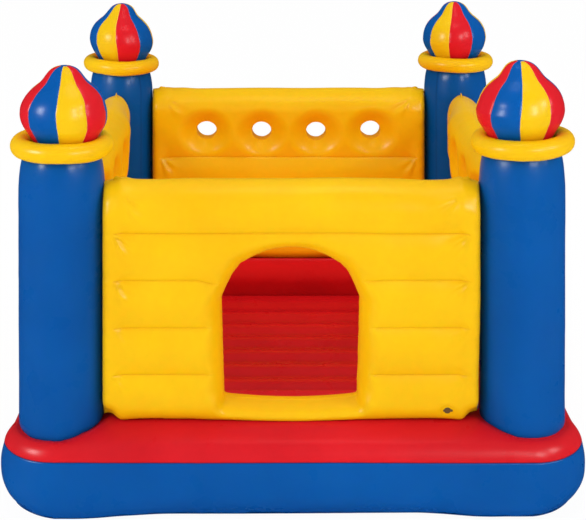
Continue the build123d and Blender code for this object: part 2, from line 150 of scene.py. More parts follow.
def grid_mesh(name, P, wrap_u=False, wrap_v=False, flip=False, attrs=None):
    nu, nv = P.shape[:2]
    return make_mesh(name, P.reshape(-1, 3), grid_faces(nu, nv, wrap_u, wrap_v, flip),
                     {k: np.broadcast_to(v, (nu, nv)).ravel() for k, v in (attrs or {}).items()})


def punch(obj, centre, axis, radius):
    """Opens a round hole: points inside the circle move to it, and the faces
    between them go."""
    m = obj.data
    n = len(m.vertices)
    co = np.empty(n * 3)
    m.vertices.foreach_get("co", co)
    co = co.reshape(-1, 3)
    axis = np.array(axis, float) / np.linalg.norm(axis)
    rel = co - np.array(centre)
    along = rel @ axis
    flat = rel - along[:, None] * axis
    rad = np.linalg.norm(flat, axis=1)
    near = (np.abs(along) < 0.012) & (rad < radius)
    rad_safe = np.maximum(rad, 1e-6)
    moved = flat / rad_safe[:, None] * radius
    co[near] = (np.array(centre) + moved + along[:, None] * axis)[near]
    m.vertices.foreach_set("co", co.ravel())
    import bmesh
    bm = bmesh.new()
    bm.from_mesh(m)
    bm.verts.ensure_lookup_table()
    kill = [f for f in bm.faces if all(near[v.index] for v in f.verts)]
    bmesh.ops.delete(bm, geom=kill, context="FACES")
    bm.to_mesh(m)
    bm.free()
    m.update()


def solidify(obj, thickness, offset=-1.0):
    mod = obj.modifiers.new("thick", "SOLIDIFY")
    mod.thickness = thickness
    mod.offset = offset
    mod.use_rim = True
    return obj


# ------------------------------------------------------------------ materials


def vinyl(name, rgb, rough=0.30, coat=0.35, deep=None, seam_and_shade=None, seam_and_shade_gain=0.0, bump=0.10, translucent=0.0):
    """Glossy heat-sealed vinyl: colour drifts a little, the sheet has a fine
    orange-peel skin, slow dents and faint scuffs; a mesh attribute (1 at a weld)
    changes the colour there, and on the floor and the walls it also paints shade along the creases."""
    mat = bpy.data.materials.new(name)
    mat.use_nodes = True
    nt = mat.node_tree
    n, l = nt.nodes, nt.links
    b = n["Principled BSDF"]
    co = n.new("ShaderNodeTexCoord")

    def tex(scale, detail=3.0, distortion=0.0, rough_=0.5):
        t = n.new("ShaderNodeTexNoise")
        t.inputs["Scale"].default_value = scale
        t.inputs["Detail"].default_value = detail
        t.inputs["Roughness"].default_value = rough_
        t.inputs["Distortion"].default_value = distortion
        l.new(co.outputs["Object"], t.inputs["Vector"])
        return t

    slow = tex(3.2, 2.0)
    fine = tex(38.0, 4.0)
    deep = deep or tuple(c * 0.80 for c in rgb)
    ramp = n.new("ShaderNodeValToRGB")
    ramp.color_ramp.elements[0].position = 0.30
    ramp.color_ramp.elements[1].position = 0.72
    ramp.color_ramp.elements[0].color = (*[a * 0.45 + c * 0.55 for a, c in zip(deep, rgb)], 1)
    ramp.color_ramp.elements[1].color = (*[min(1, c * 1.03) for c in rgb], 1)
    l.new(slow.outputs["Fac"], ramp.inputs["Fac"])
    mix = n.new("ShaderNodeMix")
    mix.data_type = "RGBA"
    mix.blend_type = "MULTIPLY"
    mix.inputs["Factor"].default_value = 0.10
    l.new(ramp.outputs["Color"], mix.inputs["A"])
    l.new(fine.outputs["Color"], mix.inputs["B"])
    colour = mix.outputs["Result"]

    # mark colour from the mesh attribute: weld lines, and on the floor and walls painted shade along the creases
    at = n.new("ShaderNodeAttribute")
    at.attribute_name = "seam_and_shade"
    seam_and_shade_mix = n.new("ShaderNodeMix")
    seam_and_shade_mix.data_type = "RGBA"
    seam_and_shade_mix.inputs["B"].default_value = (*(seam_and_shade or deep), 1)
    gain = n.new("ShaderNodeMath")
    gain.operation = "MULTIPLY"
    gain.inputs[1].default_value = seam_and_shade_gain
    l.new(at.outputs["Fac"], gain.inputs[0])
    l.new(gain.outputs[0], seam_and_shade_mix.inputs["Factor"])
    l.new(colour, seam_and_shade_mix.inputs["A"])
    l.new(seam_and_shade_mix.outputs["Result"], b.inputs["Base Color"])

    scuff = tex(9.0, 4.0, 0.0, 0.55)
    rr = n.new("ShaderNodeMapRange")
    rr.inputs["From Min"].default_value = 0.35
    rr.inputs["From Max"].default_value = 0.75
    rr.inputs["To Min"].default_value = rough - 0.04
    rr.inputs["To Max"].default_value = rough + 0.09
    l.new(scuff.outputs["Fac"], rr.inputs["Value"])
    l.new(rr.outputs["Result"], b.inputs["Roughness"])

    peel = tex(420.0, 2.0)
    dents = tex(5.5, 2.0)
    b1 = n.new("ShaderNodeBump")
    b1.inputs["Strength"].default_value = bump
    b1.inputs["Distance"].default_value = 0.0004
    l.new(peel.outputs["Fac"], b1.inputs["Height"])
    b2 = n.new("ShaderNodeBump")
    b2.inputs["Strength"].default_value = 0.25
    b2.inputs["Distance"].default_value = 0.0020
    l.new(dents.outputs["Fac"], b2.inputs["Height"])
    l.new(b1.outputs["Normal"], b2.inputs["Normal"])
    l.new(b2.outputs["Normal"], b.inputs["Normal"])

    b.inputs["IOR"].default_value = 1.50
    b.inputs["Specular IOR Level"].default_value = 0.065
    b.inputs["Coat Weight"].default_value = coat * 0.16
    b.inputs["Coat Roughness"].default_value = 0.22
    b.inputs["Coat IOR"].default_value = 1.45
    l.new(b2.outputs["Normal"], b.inputs["Coat Normal"])
    if translucent:
        b.inputs["Subsurface Weight"].default_value = translucent
        b.inputs["Subsurface Radius"].default_value = (0.02, 0.012, 0.004)
        b.inputs["Subsurface Scale"].default_value = 0.5
    mat.diffuse_color = (*rgb, 1)
    return mat


# mark colours: weld lines; on the red floor and the yellow walls the same colour is also painted shade along the
# creases
RED = vinyl("red_vinyl_skin", (0.745, 0.012, 0.020), deep=(0.52, 0.006, 0.012), seam_and_shade=(0.30, 0.005, 0.012), seam_and_shade_gain=0.8)
BLUE = vinyl("blue_vinyl_skin", (0.0, 0.098, 0.395), deep=(0.0, 0.065, 0.29), seam_and_shade=(0.0, 0.02, 0.10), seam_and_shade_gain=0.8)
YELLOW = vinyl("yellow_vinyl_skin", (0.985, 0.585, 0.004), deep=(0.93, 0.45, 0.002), seam_and_shade=(0.72, 0.30, 0.01),
               seam_and_shade_gain=0.55, rough=0.33, coat=0.28)
DOME_RED = vinyl("dome_red_vinyl", (0.80, 0.012, 0.022), seam_and_shade=(0.80, 0.20, 0.18), seam_and_shade_gain=0.35)
DOME_BLUE = vinyl("dome_blue_vinyl", (0.0, 0.105, 0.43), seam_and_shade=(0.12, 0.25, 0.60), seam_and_shade_gain=0.35)
DOME_YELLOW = vinyl("dome_yellow_vinyl", (0.985, 0.60, 0.006), seam_and_shade=(1.0, 0.72, 0.16), seam_and_shade_gain=0.35)
INNER = vinyl("plain_inner_vinyl", (0.80, 0.80, 0.74), rough=0.45, coat=0.1)
CLEAR = vinyl("valve_soft_vinyl", (0.56, 0.44, 0.22), rough=0.30, coat=0.3, deep=(0.36, 0.26, 0.12))
VALVE_DARK = vinyl("valve_smoked_vinyl", (0.17, 0.105, 0.045), rough=0.28, coat=0.5, deep=(0.09, 0.055, 0.025))
FLAP = vinyl("valve_flap_vinyl", (0.62, 0.56, 0.40), rough=0.35, coat=0.2)


def assign(obj, mat):
    obj.data.materials.clear()
    obj.data.materials.append(mat)


def place(obj, mat, slot, body, *replaced):
    assign(obj, mat)
    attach(obj, body)
    if replaced:
        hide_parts(*replaced)
    return obj


# ------------------------------------------------------------------ base ring
C = 0.6925            # tower axes and wall middle planes
TOWER_R = 0.1275
R_IN = 0.028


def loops(h, r, ns, nc):
    """Points and outward directions of rounded squares: h and r are arrays
    (m,), the result is (n, m, 2)."""
    h, r = np.asarray(h, float), np.asarray(r, float)
    L = h - r
    s = np.linspace(-1, 1, ns, endpoint=False)
    a = np.linspace(0, np.pi / 2, nc, endpoint=False)
    side = np.stack([s[:, None] * L[None], np.broadcast_to(-h, (ns, len(h)))], -1)
    side_n = np.broadcast_to(np.array([0.0, -1.0]), (ns, len(h), 2))
    corner = np.stack([L[None] + r[None] * np.sin(a)[:, None], -(L[None] + r[None] * np.cos(a)[:, None])], -1)
    corner_n = np.broadcast_to(np.stack([np.sin(a), -np.cos(a)], -1)[:, None], (nc, len(h), 2))
    p0, n0 = np.concatenate([side, corner]), np.concatenate([side_n, corner_n])
    out, nor = [], []
    for k in range(4):
        c_, s_ = [(1, 0), (0, 1), (-1, 0), (0, -1)][k]
        rot = np.array([[c_, -s_], [s_, c_]], float)
        out.append(p0 @ rot.T)
        nor.append(n0 @ rot.T)
    return np.concatenate(out), np.concatenate(nor)


def loop_level(x, y):
    """Half size h of the rounded square that passes through (x, y)."""
    ax, ay = np.abs(x), np.abs(y)
    m, n = np.maximum(ax, ay), np.minimum(ax, ay)
    outer = np.where(n > C, C + np.hypot(ax - C, ay - C), m)
    r = R_IN
    q = ((m + n) - np.sqrt(np.maximum(2 * r * r - (m - n) ** 2, 0))) / 2
    inner = np.where(m - n > r, m, q + r)
    return np.where(outer > C + r, outer, inner)


TOP_PROFILE = catmull([(0.5800, 0.100), (0.5797, 0.160), (0.5790, 0.225), (0.5794, 0.2450), (0.5815, 0.2560),
                       (0.5860, 0.2618), (0.5930, 0.2630), (0.6040, 0.2590), (0.6250, 0.2530), (0.6600, 0.2505),
                       (0.7000, 0.2500), (0.7400, 0.2490), (0.7750, 0.2465), (0.8000, 0.2415), (0.8240, 0.2325),
                       (0.8420, 0.2220), (0.8555, 0.2075), (0.8640, 0.1920), (0.8668, 0.1830), (0.8665, 0.1803),
                       (0.8648, 0.1789)], 10)
lip = np.argmax(TOP_PROFILE[:, 0] >= 0.5815)
TOP_H, TOP_Z = TOP_PROFILE[lip:, 0], TOP_PROFILE[lip:, 1]
keep = np.r_[True, np.diff(TOP_H) > 1e-6]
TOP_H, TOP_Z = TOP_H[keep], TOP_Z[keep]
corner_xy = {"front_left": (-C, -C), "front_right": (C, -C), "rear_left": (-C, C), "rear_right": (C, C)}
# each tower settles its own way: lift and slope of the collar, heights of the
# dome's widest ring and tip, its lean there, and how deep the foot presses in
SETTLE = {
    "front_left": dict(dz=0.0050, slope=-0.023, wide=1.151, tip=1.2885, foot=0.0185, big=0.0012, out=-0.0006,
                       z=[1.04, 1.109, 1.139, 1.17, 1.20, 1.2882], lean=[.0085, .0085, .0055, .0030, .0055, .0062],
                       plump=[1.02, 1.01, 1.0, 0.995, 1.0, 1.0], gores={0: 0.3, 1: 42.0, 2: 88.0, 7: 271.0, 8: 316.0}),
    "front_right": dict(dz=0.0145, slope=0.046, wide=1.1655, tip=1.3035, foot=0.0115, big=0.0014, out=0.0012,
                        z=[1.04, 1.08, 1.11, 1.14, 1.17, 1.20, 1.23, 1.26, 1.2882],
                        lean=[-.003, -.0043, -.0065, -.0050, -.0005, .0010, .0015, -.0003, -.0025],
                        plump=[1.02, 1.02, 1.022, 1.02, 0.995, 0.988, 0.98, 1.0, 1.0], gores={0: -10.5, 1: 31.8, 2: 80.0, 7: 262.0, 8: 308.0}),
    "rear_left": dict(dz=-0.0075, slope=-0.033, wide=1.141, tip=1.2870, foot=0.0085, big=0.0018, out=-0.0025,
                      z=[1.04, 1.111, 1.128, 1.145, 1.16, 1.177, 1.193, 1.21, 1.226, 1.243, 1.259, 1.27, 1.2882],
                      lean=[.003, .003, .0019, 0, -.0022, -.004, -.005, -.0062, -.0060, -.0042, -.0019, -.0002, -.0006],
                      plump=[1.0] * 13, gores={0: -44.5, 1: -2.0, 2: 43.0, 3: 90.0, 8: 272.0}),
    "rear_right": dict(dz=0.0035, slope=0.0, wide=1.1515, tip=1.2950, foot=0.0085, big=0.0012, out=-0.0010,
                       z=[1.04, 1.11, 1.13, 1.15, 1.19, 1.22, 1.25, 1.2882],
                       lean=[-.004, -.0045, -.005, -.0034, -.0024, -.0018, -.003, -.0035],
                       plump=[1.0] * 8, gores={0: -58.0, 1: -17.5, 2: 26.8, 3: 76.0, 8: 260.0}),
}


def top_dent(x, y):
    """How far the ring's top stands above its plain profile."""
    p = np.stack([x, y, np.zeros_like(x)], -1)
    d = 0.0011 * noise(p, 0.16, 3) + 0.0005 * noise(p, 0.05, 4)
    for k, (where_, (cx, cy)) in enumerate(corner_xy.items()):
        rr = np.hypot(x - cx, y - cy) - TOWER_R
        th = np.arctan2(y - cy, x - cx)
        pucker = noise1(th + np.pi, 0.16, 40 + k, 39)
        d = d - SETTLE[where_]["foot"] * np.exp(-np.maximum(rr, 0) / 0.016) - 0.0011 * pucker * np.exp(-np.abs(rr) / 0.018)
    h = loop_level(x, y)
    return d * smooth(0.871, 0.845, h) * smooth(0.579, 0.600, h)


def top_height(x, y):
    return np.interp(loop_level(x, y), TOP_H, TOP_Z) + top_dent(x, y)


def settle(P, nor):
    """The ring sags on the floor: long sides lift and draw in at the bottom,
    corners tuck under, and the sides draw in a little beside the towers."""
    x, y, z = P[..., 0].copy(), P[..., 1].copy(), P[..., 2].copy()
    ax, ay = np.abs(x), np.abs(y)
    h = loop_level(x, y)
    corner = (ax > C) & (ay > C)
    phi = np.arctan2(np.maximum(ax - C, 1e-9), np.maximum(ay - C, 1e-9))
    cw = np.where(corner, np.clip(np.sin(2 * phi), 0, 1), 0)
    s = np.where(corner, 1.0, np.minimum(ax, ay) / C)
    low = smooth(0.090, 0.010, z) * smooth(0.70, 0.82, h)
    mid = smooth(0.85, 0.50, s)
    right = smooth(-0.2, 0.5, x)
    draw = (0.012 * mid + (0.003 + 0.008 * right) * cw) * low
    lift = ((0.0035 + 0.0035 * right) * mid - (0.0050 - 0.0070 * right) * smooth(0.72, 0.92, s) * (1 - cw) + 0.002 * cw)
    lift = lift * smooth(0.060, 0.010, z) * smooth(0.775, 0.825, h)
    beside = smooth(0.76, 0.65, ay) * (ax > ay) * (0.016 - 0.004 * right) * smooth(0.125, 0.185, z) * smooth(0.80, 0.86, h)
    P[..., 0] = x - nor[..., 0] * (draw + beside) + 0.0035 * smooth(0.79, 0.85, h)
    P[..., 1] = y - nor[..., 1] * draw
    P[..., 2] = np.maximum(z + lift, 0.0004)
    return P


def flatten_round(P, centre, normal, inner=0.019, outer=0.034):
    """Presses the sheet onto the plane a valve sits on."""
    n_ = np.array(normal, float) / np.linalg.norm(normal)
    rel = P - np.array(centre)
    dist = rel @ n_
    rad = np.linalg.norm(rel - dist[..., None] * n_, axis=-1)
    k_ = smooth(outer, inner, rad) * (np.abs(dist) < 0.03)
    return P - n_ * ((dist + 0.0004) * k_)[..., None]


NS, NC = 190, 40
prof = resample(TOP_PROFILE, 96)
PH, PZ = prof[:, 0], prof[:, 1]
PR = np.maximum(PH - C, R_IN)
xy, nor = loops(PH, PR, NS, NC)
P = np.concatenate([xy, np.broadcast_to(PZ, xy.shape[:2])[..., None]], -1)
P[..., 2] += top_dent(P[..., 0], P[..., 1]) * (PZ > 0.2)
# the band below the lip bellies a little, and the weld at the side puckers
arc = np.arange(P.shape[0]) * 0.0068
for_k = np.arange(P.shape[0])
belly = np.exp(-((PZ - 0.17) / 0.05) ** 2) * (PH < 0.59)
wob = noise(np.concatenate([P[..., :2], P[..., 2:]], -1), 0.11, 9)
P[..., 0] += nor[..., 0] * (0.0012 * wob * belly)
P[..., 1] += nor[..., 1] * (0.0012 * wob * belly)
near_seam = np.exp(-np.linalg.norm(prof - prof[-1], axis=1) / 0.016)
period = P.shape[0]
pk = noise1(for_k, 2.6, 21, None) * 0.6 + noise1(for_k, 6.1, 22, None) * 0.6
pk = pk * (0.35 + 0.65 * (noise1(for_k, 30, 23) > 0))
P[..., 0] -= nor[..., 0] * (0.00075 * pk[:, None] * near_seam[None])
P[..., 1] -= nor[..., 1] * (0.00075 * pk[:, None] * near_seam[None])
P[..., 2] += 0.0011 * noise1(for_k, 55, 24)[:, None] * smooth(0.05, 0, np.linalg.norm(prof - prof[-1], axis=1))[None]
seam_w = np.exp(-np.linalg.norm(prof - prof[-1], axis=1) / 0.0013)
P = settle(P, nor)
base_top = grid_mesh("base_top_visual", P, wrap_u=True, flip=False, attrs={"seam_and_shade": seam_w[None]})
place(base_top, RED, "red_vinyl", ROOT, "base_top_sheet", "base_inner_band")

SIDE_PROFILE = catmull([(0.8646, 0.1792), (0.8670, 0.1783), (0.8680, 0.1757), (0.8705, 0.1620), (0.8738, 0.1360),
                        (0.8748, 0.1120), (0.8730, 0.0850), (0.8668, 0.0600), (0.8575, 0.0380), (0.8465, 0.0215),
                        (0.8385, 0.0120), (0.8350, 0.0096)], 10)
prof = resample(SIDE_PROFILE, 52)
PH, PZ = prof[:, 0], prof[:, 1]
xy, nor = loops(PH, PH - C, NS, NC)
P = np.concatenate([xy, np.broadcast_to(PZ, xy.shape[:2])[..., None]], -1)
top_w = np.exp(-np.linalg.norm(prof - prof[0], axis=1) / 0.016)
foot_d = np.linalg.norm(prof - prof[-1], axis=1)
foot_w = np.exp(-foot_d / 0.022)
pk2 = noise1(for_k, 3.1, 31) * 0.6 + noise1(for_k, 8.3, 32) * 0.7
slow = noise(P, 0.20, 33) * 0.0016 * np.clip(foot_d / 0.05, 0, 1)[None] * smooth(0, 0.05, np.linalg.norm(prof - prof[0], axis=1))[None]
mv = -0.00075 * pk[:, None] * top_w[None] - 0.0016 * pk2[:, None] * foot_w[None] + np.minimum(slow, 0.0006)
P[..., 0] += nor[..., 0] * mv
P[..., 1] += nor[..., 1] * mv
P[..., 2] += 0.0011 * noise1(for_k, 55, 24)[:, None] * smooth(0.05, 0, np.linalg.norm(prof - prof[0], axis=1))[None]
P[..., 2] += 0.0007 * pk2[:, None] * foot_w[None]
seam_w = np.maximum(np.exp(-np.linalg.norm(prof - prof[0], axis=1) / 0.0013), 0.7 * np.exp(-foot_d / 0.0016))
P = settle(P, nor)
P = flatten_round(P, (0.300, 0.8683044, 0.0605882), (0, 0.9702957, -0.2419219))
base_side = grid_mesh("base_side_visual", P, wrap_u=True, flip=True, attrs={"seam_and_shade": seam_w[None]})
punch(base_side, (0.300, 0.8683044, 0.0605882), (0, 0.9702957, -0.2419219), 0.0135)
place(base_side, BLUE, "blue_vinyl", ROOT, "base_side_band")

# foot weld: a narrow flange with the bottom sheet turned up to it
FOOT = np.array([(0.8350, 0.0098), (0.8384, 0.0089), (0.8386, 0.0080), (0.8346, 0.0083), (0.8315, 0.0060),
                 (0.8260, 0.0030), (0.8160, 0.0010), (0.8000, 0.0005), (0.7000, 0.0005), (0.5820, 0.0005)])
prof = np.vstack([resample(FOOT[:8], 26), resample(FOOT[7:], 14)[1:]])
PH, PZ = prof[:, 0], prof[:, 1]
xy, nor = loops(PH, np.maximum(PH - C, 0.01), NS, NC)
P = np.concatenate([xy, np.broadcast_to(PZ, xy.shape[:2])[..., None]], -1)
edge = smooth(0.829, 0.838, PH)
P[..., 0] += nor[..., 0] * (0.0009 * pk2[:, None] * edge[None])
P[..., 1] += nor[..., 1] * (0.0009 * pk2[:, None] * edge[None])
P[..., 2] += 0.0007 * pk2[:, None] * smooth(0.815, 0.835, PH)[None]
under = smooth(0.81, 0.77, PH)[None]
P[..., 2] += under * 0.0012 * (noise(P, (0.08, 0.08, 1), 35) * 0.5 + 0.5)
P = settle(P, nor)
base_bottom = grid_mesh("base_bottom_visual", P, wrap_u=True, flip=True, attrs={"seam_and_shade": 0.35 * edge[None]})
place(base_bottom, BLUE, "blue_vinyl", ROOT, "base_bottom_sheet")

# ------------------------------------------------------------------ floor
HALF = 0.5750
creases = [-0.4095, -0.2925, -0.1755, -0.0585, 0.0585, 0.1755, 0.2925, 0.4095]
rows = [-HALF, -HALF + 0.0007, -HALF + 0.0025, -HALF + 0.005]
levels = sorted(set(np.round(np.concatenate([
    np.linspace(-HALF, HALF, 190),
    *[[c_ - 0.0035, c_ - 0.0012, c_, c_ + 0.0012, c_ + 0.0035] for c_ in creases],
    [s_ * (HALF - d_) for s_ in (-1, 1) for d_ in (0.0004, 0.0015, 0.004, 0.008, 0.013)]]), 6)))
ys = np.array(levels)
xs = np.array(sorted(set(np.round(np.concatenate([
    np.linspace(-HALF, HALF, 170), [s_ * (HALF - d_) for s_ in (-1, 1) for d_ in (0.0004, 0.0015, 0.004, 0.009, 0.013)]]), 6))))
X, Y = np.meshgrid(xs, ys, indexing="ij")
edges = np.array([-HALF] + creases + [HALF])
k = np.clip(np.searchsorted(edges, Y, side="right") - 1, 0, len(edges) - 2)
lo, hi = edges[k], edges[k + 1]
s = (Y - (lo + hi) / 2) / ((hi - lo) / 2)
first, last = k == 0, k == len(edges) - 2
dip = 0.5 - 0.5 * np.cos(np.pi * s)
dip = np.where(first & (s < 0), 0, dip)
dip = np.where(last & (s > 0), 0, dip)
end_fade = smooth(HALF - 0.018, HALF - 0.060, np.abs(X))
Z = 0.1340 - 0.0140 * dip * end_fade
dist = np.min(np.abs(Y[..., None] - np.array(creases)), axis=-1)
Z = Z - 0.0003 * np.exp(-(dist / 0.0030) ** 2) * end_fade
rollx = (HALF - np.abs(X)) / 0.045
rolly = (HALF - np.abs(Y)) / 0.055
roll = np.sqrt(np.clip(1 - (1 - np.clip(rollx, 0, 1)) ** 2, 0, 1)) * np.sqrt(np.clip(1 - (1 - np.clip(rolly, 0, 1)) ** 2, 0, 1))
Z = 0.078 + (Z - 0.078) * roll
p3 = np.stack([X, Y, np.zeros_like(X)], -1)
Z = Z + 0.0006 * noise(p3, (0.16, 0.10, 1), 51) * roll
for c_ in creases:   # puckers where a crease runs out at each end
    for sx in (-1, 1):
        ex = sx * (HALF - 0.040)
        rho = np.hypot(X - ex, Y - c_)
        phi = np.arctan2(Y - c_, (X - ex) * sx)
        Z = Z + 0.0005 * np.cos(5 * phi) * np.exp(-rho / 0.018) * (1 - np.exp(-rho / 0.008)) * roll
# a broad band of the darker mark colour along each crease: painted shade in the valleys between the ribs
floor = grid_mesh("bounce_floor_visual", np.stack([X, Y, Z], -1), flip=False,
                  attrs={"seam_and_shade": 0.30 * np.exp(-(dist / 0.018) ** 2) * end_fade})
punch(floor, (0.480, -0.351, 0.134), (0, 0, 1), 0.0135)
solidify(floor, 0.0008)
place(floor, RED, "red_vinyl", "bounce_floor", "floor_top_sheet")

# floor underside and the pieces inside the floor
g = np.linspace(-0.579, 0.579, 60)
X, Y = np.meshgrid(g, g, indexing="ij")
p3 = np.stack([X, Y, np.zeros_like(X)], -1)
Z = 0.0006 + 0.0010 * (noise(p3, (0.11, 0.09, 1), 61) * 0.5 + 0.5)
under = grid_mesh("floor_underside_visual", np.stack([X, Y, Z], -1), flip=True, attrs={"seam_and_shade": 0.0 * X})
solidify(under, 0.0005)
place(under, BLUE, "blue_vinyl", ROOT, "floor_bottom_sheet")
for node, name in (("floor_tension_webs", "floor_webs_visual"), ("floor_side_gusset", "floor_gusset_visual")):
    o = link(name, nodes[node].data.copy())
    place(o, INNER if node.endswith("webs") else RED, "web_vinyl" if node.endswith("webs") else "red_vinyl", ROOT, node)
    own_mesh(o)

# ------------------------------------------------------------------ towers
TOWER_PROFILE = catmull([(0.1264, 0.250), (0.1267, 0.400), (0.1276, 0.600), (0.1284, 0.800), (0.1286, 0.900), (0.1280, 0.935),
                         (0.1258, 0.963), (0.1222, 0.988), (0.1172, 1.008), (0.1100, 1.025), (0.1030, 1.036)], 12)
N_TH = 160
for t_i, (where, (cx, cy)) in enumerate(corner_xy.items()):
    zs = np.concatenate([np.linspace(0.250, 0.90, 84), np.linspace(0.90, 1.036, 44)[1:]])
    rr = np.interp(zs, TOWER_PROFILE[:, 1], TOWER_PROFILE[:, 0])
    th = np.linspace(0, 2 * np.pi, N_TH, endpoint=False)
    TH, ZZ = np.meshgrid(th, zs, indexing="ij")
    RR = np.broadcast_to(rr, TH.shape).copy()
    p3 = np.stack([np.cos(TH) * 0.13 + t_i * 3, np.sin(TH) * 0.13, ZZ], -1)
    RR += 0.0009 * noise(p3, (0.10, 0.10, 0.26), 70) + 0.00035 * noise(p3, 0.04, 71)
    gather = noise1(th, 2 * np.pi / 34, 72 + t_i, 34) * 0.6 + noise1(th, 2 * np.pi / 15, 76 + t_i, 15) * 0.7
    RR -= 0.0028 * np.clip(gather, -0.3, 1)[:, None] * np.exp(-(1.03 - ZZ) / 0.030) * (ZZ < 1.036)
    gather2 = noise1(th, 2 * np.pi / 29, 80 + t_i, 29)
    RR -= 0.0012 * gather2[:, None] * np.exp(-(ZZ - 0.25) / 0.020)
    # weld seam up the inside of the tube
    seam_th = math.atan2(-cy, -cx)
    d_th = np.abs((TH - seam_th + np.pi) % (2 * np.pi) - np.pi) * 0.131
    RR -= 0.0009 * np.exp(-(d_th / 0.0022) ** 2) - 0.0006 * np.exp(-((d_th - 0.006) / 0.004) ** 2)
    # foot: follows the ring's top and tucks under
    fx, fy = cx + 0.1275 * np.cos(th), cy + 0.1275 * np.sin(th)
    zb = top_height(fx, fy)
    low = smooth(0.36, 0.25, ZZ)
    ZZ = ZZ + low * (zb[:, None] - 0.250)
    tuck = np.exp(-np.maximum(ZZ - zb[:, None], 0) / 0.0035)
    RR -= 0.0035 * tuck
    st_ = SETTLE[where]
    upper = smooth(0.88, 1.01, ZZ)
    P = np.stack([cx + RR * np.cos(TH) + (0.0 if cx < 0 else 0.0006), cy + RR * np.sin(TH),
                  ZZ - 0.0015 * tuck + upper * (st_["dz"] + st_["slope"] * RR * np.cos(TH))], -1)
    sm = np.maximum(np.exp(-(d_th / 0.0016) ** 2) * 0.5, np.exp(-np.maximum(ZZ - zb[:, None], 0) / 0.0012) * 0.7)
    tower = grid_mesh(f"{where}_tower_visual", P, wrap_u=True, attrs={"seam_and_shade": sm})
    place(tower, BLUE, "blue_vinyl", ROOT, f"{where}_tower_tube")

    # collar ring
    nt_, nf = 180, 44
    th = np.linspace(0, 2 * np.pi, nt_, endpoint=False)
    ph = np.linspace(0, 2 * np.pi, nf, endpoint=False)
    TH, PHI = np.meshgrid(th, ph, indexing="ij")
    inner = smooth(0.2, -1.0, np.cos(PHI))
    lower = smooth(-0.1, -1.0, np.sin(PHI))
    pucker = (noise1(th, 2 * np.pi / 46, 90 + t_i, 46) * 0.6 + noise1(th, 2 * np.pi / 21, 94 + t_i, 21) * 0.7)[:, None]
    notch = np.clip(noise1(th, 2 * np.pi / 27, 98 + t_i, 27) - 0.35, 0, 1)[:, None] * 1.5
    a = 0.0293 + 0.0006 * noise(np.stack([np.cos(TH), np.sin(TH), PHI * 0.1 + t_i], -1), 0.5, 99)
    a = a - 0.0016 * pucker * inner - 0.0030 * notch * lower * smooth(0.6, -0.2, np.cos(PHI))
    mid = 0.1237 + st_["big"]
    rad = mid + a * np.cos(PHI)
    zz = 1.0472 + st_["dz"] + st_["slope"] * rad * np.cos(TH) + a * 0.985 * np.sin(PHI)
    # the weld round the ring's inner edge pulls in
    wobz = 0.0013 * noise1(th, 2 * np.pi / 9, 102 + t_i, 9)[:, None]
    P = np.stack([cx + rad * np.cos(TH) + 0.0015 + st_["out"], cy + rad * np.sin(TH), zz + wobz], -1)
    collar = grid_mesh(f"{where}_collar_visual", P, wrap_u=True, wrap_v=True, flip=False, attrs={"seam_and_shade": 0.0 * TH})
    place(collar, YELLOW, "yellow_vinyl", ROOT, f"{where}_collar")

# ------------------------------------------------------------------ domes
DOME = catmull([(0.0790, 1.036), (0.0845, 1.048), (0.0925, 1.062), (0.1030, 1.079), (0.1122, 1.094), (0.1205, 1.109),
                (0.1260, 1.124), (0.1288, 1.139), (0.1290, 1.151), (0.1264, 1.168), (0.1214, 1.184), (0.1130, 1.1995),
                (0.1008, 1.2146), (0.0870, 1.2267), (0.0722, 1.2387), (0.0615, 1.2508), (0.0528, 1.2628), (0.0432, 1.2740),
                (0.0316, 1.2820), (0.0180, 1.2868), (0.0018, 1.2882)], 10)


def dome_place(where_, r, az_x, az_y, z):
    """World position of a dome point given in its own plain profile."""
    st = SETTLE[where_]
    cx_, cy_ = corner_xy[where_]
    plump = np.interp(z, st["z"], st["plump"])
    r = r * plump
    x = r * az_x
    zz_ = np.interp(z, [1.030, 1.151, 1.2882], [1.030 + st["dz"], st["wide"], st["tip"]])
    zz_ = zz_ + st["slope"] * x * smooth(1.16, 1.05, z)
    lean = np.interp(z, st["z"], st["lean"])
    return np.stack([cx_ + x + lean, cy_ + r * az_y, zz_], -1)


dome_curve = resample(DOME, 84)
GORES = 9


def gore_edges(where_):
    """Azimuths of a dome's ten gore edges (the last repeats the first); the
    panels are not all cut to one width."""
    e = dict(SETTLE[where_]["gores"])
    e[9] = e[0] + 360.0
    ks = sorted(e)
    return np.interp(np.arange(GORES + 1), ks, [e[k_] for k_ in ks])


